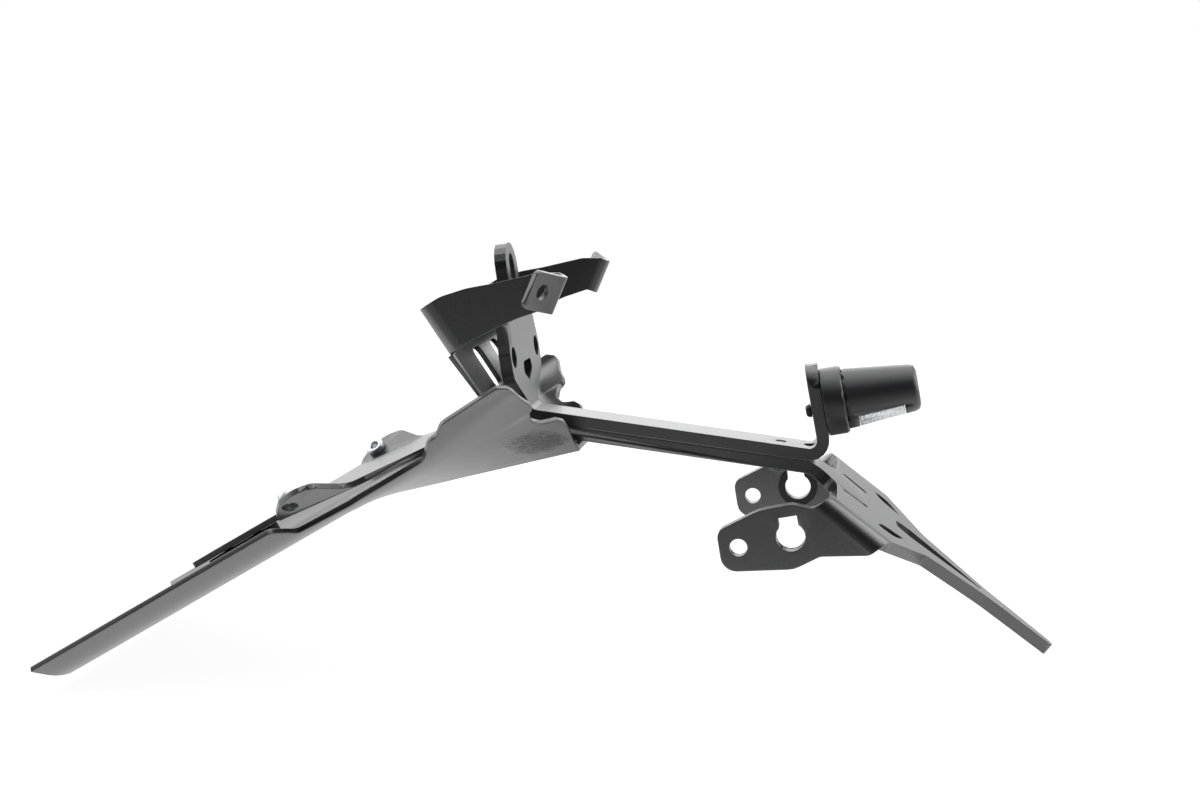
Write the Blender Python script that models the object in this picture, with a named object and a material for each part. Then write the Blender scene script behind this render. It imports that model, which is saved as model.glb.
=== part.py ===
"""Number plate holder for a motorbike: folded black sheets, a small lamp and its fasteners.

Metres, +Z up. X runs from the undertray's front lip to the tip of the plate, Y across the holder.
While the pieces are made, the corner between the arm and the upright is at X = 0, Z = 0. The empty
that carries them all then lifts the holder onto the floor and centres it.
"""
import math
from collections import namedtuple

import bmesh
import bpy
from mathutils import Matrix, Vector

# Facets of round corners, bends and turned pieces
CORNER_STEP = math.radians(20)
BEND_STEP = math.radians(19)
TURNED_SIDES = 24
GAP = 0.0003

# Upper arm: one heavy plate with the upright at its left end and the lamp tab at its right end
PLATE_THICKNESS = 0.0048
ARM_SLOPE = math.radians(8.8)
ARM_LENGTH = 0.1221
ARM_HALF_WIDTH = 0.0095
UPRIGHT_LEAN = math.radians(6.8)
UPRIGHT_BEND_RADIUS = 0.0064
LUG_FOOT = 0.005
LUG_HEIGHT = 0.0215
LUG_HALF_WIDTH = 0.029
LUG_FLAT = 0.010
LUG_CORNER = 0.006
LUG_HOLE_DIAMETER = 0.0086
LUG_HOLE_SPACING = 0.0455
SHOULDER_HEIGHT = 0.0395
SHOULDER_HALF_WIDTH = 0.0205
LOOP_HALF_WIDTH = 0.0105
LOOP_FOOT = 0.0470
LOOP_TOP = 0.0694
LOOP_SLOT_START = 0.0510
LOOP_SLOT_END = 0.0650
LOOP_SLOT_WIDTH = 0.0090
WINDOW_START = 0.0126
WINDOW_END = 0.0211
WINDOW_HALF_WIDTH = 0.0085
LAMP_TAB_LEAN = math.radians(9.0)
LAMP_TAB_LENGTH = 0.0368
LAMP_TAB_BEND_RADIUS = 0.0054
CABLE_HOLE_DIAMETER = 0.0065
CABLE_HOLE_SETBACK = 0.0062

# Plate holder: lower arm, V-shaped backing of the number plate and two folded ears
LOWER_ARM_LENGTH = 0.1150
PLATE_CORNER_SETBACK = 0.0055
PLATE_SLOPE = math.radians(39.2)
PLATE_BEND_RADIUS = 0.0080
BACKING_START = 0.0116
BACKING_LENGTH = 0.1197
BACKING_SHOULDER = 0.0385
WAIST_LENGTH = 0.0560
WAIST_HALF_WIDTH = 0.0185
POINT_START = 0.0860
POINT_HALF_WIDTH = 0.0065
TIP_HALF_WIDTH = 0.0028
EAR_SPACING = 0.1028
EAR_BEND_RADIUS = 0.0045
EAR_DEPTH = 0.0442
EAR_SMALL_HOLE_DIAMETER = 0.0068
EAR_LARGE_HOLE_DIAMETER = 0.0110
EAR_KEY_WIDTH = 0.0072
EAR_KEY_REACH = 0.0078
EAR_KEY_LEAN = math.radians(9.2)
EAR_LARGE_HOLE_ALONG = 0.0064
EAR_LARGE_HOLE_DOWN = 0.0186
WASHER_DIAMETER = 0.0166
WASHER_THICKNESS = 0.0010
ARM_SLOT_LENGTH = 0.0125
ARM_SLOT_WIDTH = 0.0032
ARM_SLOT_SPACING = 0.0300
LEAF_HOLE_WIDTH = 0.0090
LEAF_HOLE_LENGTH = 0.0150
TEAR_START = 0.0413
TEAR_LENGTH = 0.0464
TEAR_HALF_WIDTH = 0.0070

# Undertray: one folded sheet, floor and leaning flanks, with a trough that narrows to the arm
SHEET_THICKNESS = 0.0025
TRAY_FRONT = 0.1838
TRAY_FLOOR_END = 0.0626
TRAY_FLOOR_SLOPE = math.radians(28.6)
TRAY_REAR_SLOPE = math.radians(32.2)
TRAY_REAR = 0.0061
TRAY_FRONT_HALF_WIDTH = 0.0571
TRAY_REAR_HALF_WIDTH = 0.0420
TRAY_FLOOR_DROP = 0.0321
FLANK_OUT = 0.0117
FLANK_UP = 0.0101
FLANK_LEAD = 0.0072
CREASE_BEVEL = 0.0042
CREASE_STEPS = 3
TROUGH_START = 0.0660
TROUGH_END = 0.0235
TROUGH_HALF_WIDTH = 0.0140
TROUGH_SLOPE = math.radians(12.4)
SHOULDER_LENGTH = 0.0180
SHOULDER_HALF_WIDTH = 0.0250
SHOULDER_DROP = 0.0042
SHOULDER_REACH = 0.0023
NOTCH_FRONT = 0.0870
NOTCH_REAR = 0.0305
NOTCH_SILL = 0.0030
NOTCH_LEDGE_LENGTH = 0.0072
NOTCH_LEDGE_DROP = 0.0026

# Upper bracket: slotted leg, two side arms and two angled end tabs
LEG_TILT = math.radians(122.0)
LEG_SETBACK = 0.0198
LEG_HEIGHT = 0.0296
LEG_TOP = 0.0202
LEG_FOOT = 0.0260
BRACKET_THICKNESS = 0.0020
LEG_HALF_WIDTH = 0.0512
LEG_NARROWING = 0.0094
LEG_CHAMFER_START = 0.0205
LEG_RELIEF = 0.0004
LEG_SLOT_SPACING = 0.0310
LEG_SLOT_WIDTH = 0.0135
LEG_SLOT_CORNER = 0.0040
LEG_SLOT_START = 0.0020
LEG_SLOT_END = 0.0210
SIDE_ARM_SPACING = 0.1060
SIDE_ARM_BEND_RADIUS = 0.0060
SIDE_ARM_REACH = 0.0528
END_TAB_RISE = 0.0020
END_TAB_WIDTH = 0.0149
END_TAB_LINE_ANGLE = math.radians(56.6)
END_TAB_LENGTH = 0.0160
END_TAB_ANGLE = math.radians(120.0)
END_TAB_BEND_RADIUS = 0.0030
END_TAB_HOLE_DIAMETER = 0.0062
END_TAB_HOLE_SETBACK = 0.0068

# Ear bracket: web, front tongue and two leaning ears
WEB_SLOPE = math.radians(23.1)
WEB_FRONT = 0.0876
WEB_FRONT_DROP = 0.0320
WEB_LENGTH = 0.0600
WEB_HALF_WIDTH = 0.0530
WEB_END_HALF_WIDTH = 0.0440
EAR_FOLD_HALF_WIDTH = 0.0545
EAR_FOLD_RADIUS = 0.0035
EAR_FOLD_ANGLE = math.radians(36.0)
EAR_START = -0.0024
EAR_LENGTH = 0.0345
EAR_WIDTH = 0.0134
EAR_HOLE_DIAMETER = 0.0062
EAR_HOLE_ALONG = 0.0072
EAR_HOLE_OUT = 0.0067
TONGUE_SLOPE = math.radians(28.6)
TONGUE_LENGTH = 0.0655
TONGUE_HALF_WIDTH = 0.0120
TONGUE_BEND_RADIUS = 0.0100
CLINCH_NUT_DIAMETER = 0.0084
CLINCH_NUT_HEIGHT = 0.0026

# Blocks and screws between the sheets
BLOCK_FRONT = 0.0560
BLOCK_REAR = 0.0290
BLOCK_HALF_WIDTH = 0.0095
WEDGE_OVERHANG = 0.0036
WEDGE_LENGTH = 0.0220
WEDGE_HALF_WIDTH = 0.0090
SCREW_DIAMETER = 0.0040
SCREW_HEAD_DIAMETER = 0.0076
SCREW_HEAD_HEIGHT = 0.0024
SUNK_HEAD_DIAMETER = 0.0068
SOCKET_WIDTH = 0.0026
SOCKET_DEPTH = 0.0013
ARM_SCREW_REAR = 0.0400
ARM_SCREW_FRONT_SETBACK = 0.0186
TONGUE_SCREWS = (0.0350, 0.0500)
WEDGE_SCREWS = (0.0050, 0.0130)
WEDGE_SCREW_SHARE = 0.6

# Lamp: turned ring and housing on the lamp tab, with a clear lens below
LAMP_HEIGHT = 0.0205
RING_DIAMETER = 0.0272
RING_THICKNESS = 0.0078
LAMP_SCREW_DROP = 0.0024
LAMP_SCREW_HEAD_DIAMETER = 0.0054
HOUSING_DIAMETER = 0.0240
HOUSING_END_DIAMETER = 0.0188
HOUSING_LENGTH = 0.0292
HOUSING_EDGE = 0.0024
WINDOW_FRONT = 0.0044
WINDOW_BACK = 0.0229
WINDOW_RISE_FRONT = 0.0062
WINDOW_RISE_BACK = 0.0050
POCKET_HALF_WIDTH = 0.0060
POCKET_DEPTH = 0.0040
POCKET_WALL = 0.0020
BOARD_THICKNESS = 0.0012
LED_SIZE = 0.0028
LED_HEIGHT = 0.0010
LED_COUNT = 3

Fold = namedtuple("Fold", "point direction radius angle within")
Placed = namedtuple("Placed", "location tilt")


def clear_scene():
    for item in list(bpy.data.objects):
        bpy.data.objects.remove(item, do_unlink=True)


def material(name, colour, roughness, metallic, transmission=0.0):
    made = bpy.data.materials.new(name)
    made.use_nodes = True
    shader = made.node_tree.nodes["Principled BSDF"]
    shader.inputs["Base Color"].default_value = (*colour, 1.0)
    shader.inputs["Roughness"].default_value = roughness
    shader.inputs["Metallic"].default_value = metallic
    shader.inputs["Transmission Weight"].default_value = transmission
    made.diffuse_color = (*colour, 1.0)
    made.roughness = roughness
    made.metallic = metallic
    return made


def add_object(name, bm, finish, place, parent):
    """A named object from a finished bmesh, tilted about Y and set down at its place."""
    mesh = bpy.data.meshes.new(name)
    bm.to_mesh(mesh)
    bm.free()
    mesh.materials.append(finish)
    made = bpy.data.objects.new(name, mesh)
    bpy.context.collection.objects.link(made)
    made.location = place.location
    made.rotation_euler = (0.0, place.tilt, 0.0)
    made.parent = parent
    return made


def smooth(made, angle=35):
    made.data.shade_smooth()
    made.data.set_sharp_from_angle(angle=math.radians(angle))


def cut(target, cutter):
    """Take the cutter out of the target with an exact Boolean."""
    cutter.hide_render = True
    cutter.display_type = "WIRE"
    step = target.modifiers.new("Cut " + cutter.name, "BOOLEAN")
    step.operation = "DIFFERENCE"
    step.solver = "EXACT"
    step.object = cutter


def rounded(corners):
    """A closed outline from (x, y, radius) corners, each rounded with its own radius."""
    points = []
    for index, (x, y, radius) in enumerate(corners):
        here = Vector((x, y))
        if radius == 0:
            points.append(here)
            continue
        before = Vector(corners[index - 1][:2]) - here
        after = Vector(corners[(index + 1) % len(corners)][:2]) - here
        half = before.angle(after) / 2
        reach = min(radius / math.tan(half), 0.48 * before.length, 0.48 * after.length)
        fitted = reach * math.tan(half)
        centre = here + (before.normalized() + after.normalized()).normalized() * fitted / math.sin(half)
        start = here + before.normalized() * reach - centre
        turn = math.pi - 2 * half
        side = 1 if before.x * after.y - before.y * after.x < 0 else -1
        steps = max(2, math.ceil(turn / CORNER_STEP))
        for step in range(steps + 1):
            points.append(centre + Matrix.Rotation(side * turn * step / steps, 2) @ start)
    return points


def mirrored(half):
    """Corners of an outline that is symmetric about y = 0, from those with y above 0."""
    return list(half) + [(x, -y, radius) for x, y, radius in reversed(half) if y > 0]


def circle(x, y, diameter, sides=TURNED_SIDES):
    return [Vector((x + diameter / 2 * math.cos(math.tau * i / sides),
                    y + diameter / 2 * math.sin(math.tau * i / sides))) for i in range(sides)]


def slot(start, end, width):
    """A straight slot with round ends, between the centres of its end circles."""
    along = (Vector(end) - Vector(start)).normalized()
    heading = math.atan2(along.y, along.x)
    points = []
    for centre, first in ((end, heading - math.pi / 2), (start, heading + math.pi / 2)):
        for step in range(9):
            angle = first + math.pi * step / 8
            points.append(Vector((centre[0] + width / 2 * math.cos(angle),
                                  centre[1] + width / 2 * math.sin(angle))))
    return points


def flat_sheet(outline, openings, thickness):
    """A flat blank with its openings cut through, its mid-plane at z = 0."""
    bm = bmesh.new()
    edges = []
    for loop in [outline] + openings:
        verts = [bm.verts.new((point[0], point[1], -thickness / 2)) for point in loop]
        edges += [bm.edges.new(pair) for pair in zip(verts, verts[1:] + verts[:1])]
    bmesh.ops.triangle_fill(bm, edges=edges, use_beauty=True)
    grown = bmesh.ops.extrude_face_region(bm, geom=bm.faces[:])
    top = [item for item in grown["geom"] if isinstance(item, bmesh.types.BMVert)]
    bmesh.ops.translate(bm, verts=top, vec=(0, 0, thickness))
    return bm


def fold_sheet(bm, folds):
    """Fold a flat blank. Folds are listed from the middle of the sheet outwards."""
    for fold in folds:
        across = Vector((*fold.direction, 0)).normalized()
        length = fold.radius * abs(fold.angle)
        steps = max(2, math.ceil(abs(fold.angle) / BEND_STEP))
        for step in range(steps + 1):
            faces = [face for face in bm.faces if fold.within(*face.calc_center_median()[:2])]
            edges = {edge for face in faces for edge in face.edges}
            verts = {vert for face in faces for vert in face.verts}
            bmesh.ops.bisect_plane(bm, geom=faces + list(edges) + list(verts), dist=1e-7,
                                   plane_co=Vector((*fold.point, 0)) + across * length * step / steps,
                                   plane_no=across)
    for vert in bm.verts:
        vert.co = folded_point(vert.co.copy(), folds)
    bmesh.ops.recalc_face_normals(bm, faces=bm.faces)
    if bm.calc_volume(signed=True) < 0:
        bmesh.ops.reverse_faces(bm, faces=bm.faces[:])
    return bm


def folded_point(flat, folds):
    """Where the folds take one point of the blank, worked from the outermost fold inwards."""
    spot = flat.copy()
    for fold in reversed(folds):
        across = Vector((*fold.direction, 0)).normalized()
        start = Vector((*fold.point, 0))
        passed = (flat - start).dot(across)
        if passed <= 1e-7 or not fold.within(flat.x, flat.y):
            continue
        radius = math.copysign(fold.radius, fold.angle)
        length = fold.radius * abs(fold.angle)
        turn = fold.angle * min(passed / length, 1)
        beyond = (spot - start).dot(across) - length if passed > length else 0.0
        height = spot.z
        along = (radius - height) * math.sin(turn) + beyond * math.cos(turn)
        rise = radius - (radius - height) * math.cos(turn) + beyond * math.sin(turn)
        kept = spot - across * (spot - start).dot(across)
        spot = kept + across * along
        spot.z = rise
    return spot


def everywhere(x, y):
    return True


def prism(name, profile, half_width, finish, parent, offset=0.0):
    """A straight prism across Y from an (x, z) profile."""
    bm = bmesh.new()
    face = bm.faces.new([bm.verts.new((x, offset - half_width, z)) for x, z in profile])
    grown = bmesh.ops.extrude_face_region(bm, geom=[face])
    moved = [item for item in grown["geom"] if isinstance(item, bmesh.types.BMVert)]
    bmesh.ops.translate(bm, verts=moved, vec=(0, 2 * half_width, 0))
    bmesh.ops.recalc_face_normals(bm, faces=bm.faces)
    return add_object(name, bm, finish, Placed((0, 0, 0), 0.0), parent)


def turned(name, profile, finish, place, parent, sides=TURNED_SIDES):
    """A closed solid of revolution about local Z from (radius, height) points, bottom to top."""
    bm = bmesh.new()
    rings = []
    for radius, height in profile:
        rings.append([bm.verts.new((radius * math.cos(math.tau * i / sides),
                                    radius * math.sin(math.tau * i / sides), height)) for i in range(sides)])
    for low, high in zip(rings, rings[1:]):
        for i in range(sides):
            bm.faces.new((low[i], low[(i + 1) % sides], high[(i + 1) % sides], high[i]))
    bm.faces.new(list(reversed(rings[0])))
    bm.faces.new(rings[-1])
    bmesh.ops.recalc_face_normals(bm, faces=bm.faces)
    made = add_object(name, bm, finish, place, parent)
    smooth(made)
    return made


def tilt_vector(x, z, tilt):
    """A vector in the X-Z plane, tilted about Y as an object with that rotation is."""
    return Vector((x * math.cos(tilt) + z * math.sin(tilt), 0, -x * math.sin(tilt) + z * math.cos(tilt)))


def screw(name, grip, finish, place, parent, head_diameter=SCREW_HEAD_DIAMETER):
    """A button screw along local Z: its head below z = 0, its shank's end at z = grip."""
    rim = head_diameter / 2
    dome = [(rim * 0.62, -SCREW_HEAD_HEIGHT), (rim * 0.86, -SCREW_HEAD_HEIGHT * 0.78),
            (rim, -SCREW_HEAD_HEIGHT * 0.35), (rim, -GAP), (SCREW_DIAMETER / 2, -GAP)]
    return headed(name, dome, grip, finish, place, parent)


def sunk_screw(name, grip, finish, place, parent):
    """A countersunk screw along local Z: its flat head flush at z = 0, its shank's end at z = grip."""
    rim, shank = SUNK_HEAD_DIAMETER / 2, SCREW_DIAMETER / 2
    cone = [(rim, GAP / 2), (rim, GAP), (shank, GAP + rim - shank)]
    return headed(name, cone, grip, finish, place, parent)


def headed(name, head, grip, finish, place, parent):
    """A screw with the given head profile, its shank's chamfer and its hexagonal socket."""
    shank = SCREW_DIAMETER / 2
    made = turned(name, head + [(shank, grip - shank * 0.3), (shank * 0.7, grip)], finish, place, parent, 20)
    key = turned(name + "_socket", [(SOCKET_WIDTH / math.sqrt(3), head[0][1] - GAP),
                                    (SOCKET_WIDTH / math.sqrt(3), head[0][1] + SOCKET_DEPTH)],
                 finish, place, parent, 6)
    cut(made, key)
    return made


def bore(name, targets, place, parent, finish, low, high):
    """A clearance hole for a screw, through each target."""
    hole = turned(name, [(SCREW_DIAMETER / 2 + GAP, low), (SCREW_DIAMETER / 2 + GAP, high)],
                  finish, place, parent, 20)
    for target in targets:
        cut(target, hole)


def sunk_bore(name, targets, place, parent, finish, low, high):
    """A clearance hole with a countersink for a flush head."""
    rim, shank = SUNK_HEAD_DIAMETER / 2 + GAP, SCREW_DIAMETER / 2 + GAP
    hole = turned(name, [(rim, low), (rim, GAP), (shank, GAP + rim - shank), (shank, high)],
                  finish, place, parent, 20)
    for target in targets:
        cut(target, hole)


def make_upper_arm(finish, parent):
    upright_turn = math.pi / 2 - UPRIGHT_LEAN - ARM_SLOPE
    tab_turn = math.pi / 2 + LAMP_TAB_LEAN + ARM_SLOPE
    upright_tangent = UPRIGHT_BEND_RADIUS * math.tan(upright_turn / 2)
    tab_tangent = LAMP_TAB_BEND_RADIUS * math.tan(tab_turn / 2)
    upright_zero = 2 * upright_tangent - UPRIGHT_BEND_RADIUS * upright_turn
    tab_zero = ARM_LENGTH - 2 * tab_tangent + LAMP_TAB_BEND_RADIUS * tab_turn

    def up(height):
        return upright_zero - height

    half = [
        (tab_zero + LAMP_TAB_LENGTH, ARM_HALF_WIDTH, ARM_HALF_WIDTH * 0.95),
        (up(LUG_FOOT), ARM_HALF_WIDTH, 0.005),
        (up(LUG_HEIGHT - LUG_FLAT / 2), LUG_HALF_WIDTH, LUG_CORNER),
        (up(LUG_HEIGHT + LUG_FLAT / 2), LUG_HALF_WIDTH, LUG_CORNER),
        (up(SHOULDER_HEIGHT), SHOULDER_HALF_WIDTH, LUG_CORNER),
        (up(LOOP_FOOT), LOOP_HALF_WIDTH, 0.004),
        (up(LOOP_TOP), LOOP_HALF_WIDTH, LOOP_HALF_WIDTH * 0.98),
    ]
    window = [
        (up(WINDOW_START), 0, 0.001),
        (up(WINDOW_START + 0.004), WINDOW_HALF_WIDTH, 0.002),
        (up(WINDOW_END), WINDOW_HALF_WIDTH * 0.8, 0.002),
        (up(WINDOW_END), -WINDOW_HALF_WIDTH * 0.8, 0.002),
        (up(WINDOW_START + 0.004), -WINDOW_HALF_WIDTH, 0.002),
    ]
    slot_end = LOOP_SLOT_WIDTH / 2
    openings = [
        rounded(window),
        circle(up(LUG_HEIGHT + 0.003), LUG_HOLE_SPACING / 2, LUG_HOLE_DIAMETER),
        circle(up(LUG_HEIGHT + 0.003), -LUG_HOLE_SPACING / 2, LUG_HOLE_DIAMETER),
        slot((up(LOOP_SLOT_END - slot_end), 0), (up(LOOP_SLOT_START + slot_end), 0), LOOP_SLOT_WIDTH),
        circle(ARM_LENGTH - CABLE_HOLE_SETBACK, 0, CABLE_HOLE_DIAMETER),
    ]
    folds = [
        Fold((upright_tangent, 0), (-1, 0), UPRIGHT_BEND_RADIUS, upright_turn, everywhere),
        Fold((ARM_LENGTH - tab_tangent, 0), (1, 0), LAMP_TAB_BEND_RADIUS, tab_turn, everywhere),
    ]
    sheet = fold_sheet(flat_sheet(rounded(mirrored(half)), openings, PLATE_THICKNESS), folds)
    return add_object("upper_arm", sheet, finish, Placed((0, 0, 0), ARM_SLOPE), parent)


def lower_arm_corner():
    """Where the lower arm's mid-plane meets the number plate's."""
    return tilt_vector(ARM_LENGTH - PLATE_CORNER_SETBACK, -(PLATE_THICKNESS + GAP), ARM_SLOPE)


def ear_fold_line():
    """Half-width of the backing between the starts of its ears' bends."""
    return EAR_SPACING / 2 - PLATE_THICKNESS / 2 - EAR_BEND_RADIUS


def ear_folds():
    return [Fold((0, side * ear_fold_line()), (0, side), EAR_BEND_RADIUS, -math.pi / 2, everywhere)
            for side in (1, -1)]


def down(depth):
    """Place on the blank of a point of an ear, from its depth below the backing's mid-plane."""
    return ear_fold_line() + EAR_BEND_RADIUS * (math.pi / 2 - 1) + depth


def make_plate_holder(finish, parent):
    turn = PLATE_SLOPE - ARM_SLOPE
    tangent = PLATE_BEND_RADIUS * math.tan(turn / 2)
    arm_zero = 2 * tangent - PLATE_BEND_RADIUS * turn
    fold_line = ear_fold_line()

    half = [
        (arm_zero - LOWER_ARM_LENGTH, ARM_HALF_WIDTH, 0.002),
        (BACKING_START, ARM_HALF_WIDTH, 0.008),
        (BACKING_START, fold_line - 0.002, 0.003),
        (0.0085, fold_line + 0.002, 0.003),
        (0.0060, down(0.0052), 0.004),
        (-0.0010, down(0.0085), 0.006),
        (-0.0090, down(0.0180), 0.020),
        (-0.0164, down(0.0345), 0.004),
        (-0.0050, down(EAR_DEPTH + 0.0010), 0.006),
        (0.0150, down(0.0275), 0.010),
        (0.0195, down(0.0175), 0.004),
        (0.0330, down(0.0060), 0.004),
        (0.0355, fold_line + 0.003, 0.003),
        (BACKING_SHOULDER, fold_line - 0.001, 0.003),
        (WAIST_LENGTH, WAIST_HALF_WIDTH, 0.006),
        (POINT_START, POINT_HALF_WIDTH, 0.030),
        (BACKING_LENGTH, TIP_HALF_WIDTH, TIP_HALF_WIDTH * 0.9),
    ]
    openings = [teardrop()]
    for side in (1, -1):
        near = ARM_SLOT_SPACING / 2
        openings.append(slot((0.0159, side * (near + 0.0009)),
                             (0.0159 + ARM_SLOT_LENGTH - ARM_SLOT_WIDTH, side * (near - 0.0010)),
                             ARM_SLOT_WIDTH))
        openings.append(leaf_hole(side))
        openings.append(circle(-0.0062, side * down(0.0341), EAR_SMALL_HOLE_DIAMETER))
        openings.append(turned_about_hole(keyed_arc(EAR_LARGE_HOLE_DIAMETER) + key_end(), side))
    folds = ear_folds()
    folds.append(Fold((tangent, 0), (-1, 0), PLATE_BEND_RADIUS, -turn, lambda x, y: abs(y) < fold_line))
    sheet = fold_sheet(flat_sheet(rounded(mirrored(half)), openings, PLATE_THICKNESS), folds)
    corner = lower_arm_corner()
    return add_object("plate_holder", sheet, finish, Placed(corner, PLATE_SLOPE), parent)


def teardrop():
    """The long opening along the backing, round at the arm's end and pointed at the tip's."""
    return rounded([
        (TEAR_START, TEAR_HALF_WIDTH * 0.75, 0.003),
        (TEAR_START + 0.007, TEAR_HALF_WIDTH, 0.004),
        (TEAR_START + 0.022, TEAR_HALF_WIDTH * 0.62, 0.020),
        (TEAR_START + TEAR_LENGTH, 0, 0.0008),
        (TEAR_START + 0.022, -TEAR_HALF_WIDTH * 0.62, 0.020),
        (TEAR_START + 0.007, -TEAR_HALF_WIDTH, 0.004),
        (TEAR_START, -TEAR_HALF_WIDTH * 0.75, 0.003),
    ])


def leaf_hole(side):
    """A leaf-shaped opening beside the teardrop, slanting towards the tip."""
    first = Vector((0.0305, side * 0.0330))
    last = first + Vector((math.cos(-0.72), side * math.sin(-0.72))) * LEAF_HOLE_LENGTH * 1.25
    across = Vector((-(last - first).y, (last - first).x)).normalized() * LEAF_HOLE_WIDTH / 2
    middle = first.lerp(last, 0.42)
    corners = [first, middle + across, last, middle - across]
    return rounded([(point.x, point.y, radius) for point, radius in zip(corners, (0.002, 0.006, 0.001, 0.006))])


def keyed_arc(diameter, steps=20):
    """The round part of a keyed hole about its centre, open towards +x for its square notch."""
    radius = diameter / 2
    opening = math.asin(EAR_KEY_WIDTH / 2 / radius)
    angles = [opening + (math.tau - 2 * opening) * step / steps for step in range(steps + 1)]
    return [Vector((radius * math.cos(angle), radius * math.sin(angle))) for angle in angles]


def key_end():
    return [Vector((EAR_KEY_REACH, -EAR_KEY_WIDTH / 2)), Vector((EAR_KEY_REACH, EAR_KEY_WIDTH / 2))]


def turned_about_hole(points, side):
    """Turn an outline so that its notch stands upright on an ear, and set it at the large hole."""
    heading = -side * (math.pi / 2 + PLATE_SLOPE + EAR_KEY_LEAN)
    centre = Vector((EAR_LARGE_HOLE_ALONG, side * down(EAR_LARGE_HOLE_DOWN)))
    return [centre + Matrix.Rotation(heading, 2) @ point for point in points]


def make_indicator_washer(name, side, finish, parent):
    """A thin washer on an ear's inner face, open at the notch of the large hole."""
    ring = keyed_arc(WASHER_DIAMETER, 26) + list(reversed(keyed_arc(EAR_LARGE_HOLE_DIAMETER)))
    bm = flat_sheet(turned_about_hole(ring, side), [], WASHER_THICKNESS)
    inwards = PLATE_THICKNESS / 2 + GAP + WASHER_THICKNESS / 2
    for vert in bm.verts:
        vert.co = folded_point(vert.co - Vector((0, 0, inwards)), ear_folds())
    bmesh.ops.recalc_face_normals(bm, faces=bm.faces)
    return add_object(name, bm, finish, Placed(lower_arm_corner(), PLATE_SLOPE), parent)


def crease(x):
    """Height and half-width of the undertray's crease line at x."""
    floor_end = -TRAY_FLOOR_END
    height = -TRAY_FLOOR_DROP
    if x < floor_end:
        height += (x - floor_end) * math.tan(TRAY_FLOOR_SLOPE)
    else:
        height += (x - floor_end) * math.tan(TRAY_REAR_SLOPE)
    share = (x + TRAY_FRONT) / (TRAY_FRONT + TRAY_REAR)
    half = TRAY_FRONT_HALF_WIDTH + (TRAY_REAR_HALF_WIDTH - TRAY_FRONT_HALF_WIDTH) * share
    return height, half


def trough_bottom(x):
    """Height of the trough's underside at x."""
    start = -TROUGH_START
    return crease(start)[0] + (x - start) * math.tan(TROUGH_SLOPE)


def eased(before, corner, after):
    """Points that round a corner of the sheet's section."""
    start = corner + (before - corner).normalized() * CREASE_BEVEL
    end = corner + (after - corner).normalized() * CREASE_BEVEL
    shares = [step / CREASE_STEPS for step in range(CREASE_STEPS + 1)]
    return [start.lerp(corner, t).lerp(corner.lerp(end, t), t) for t in shares]


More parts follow.
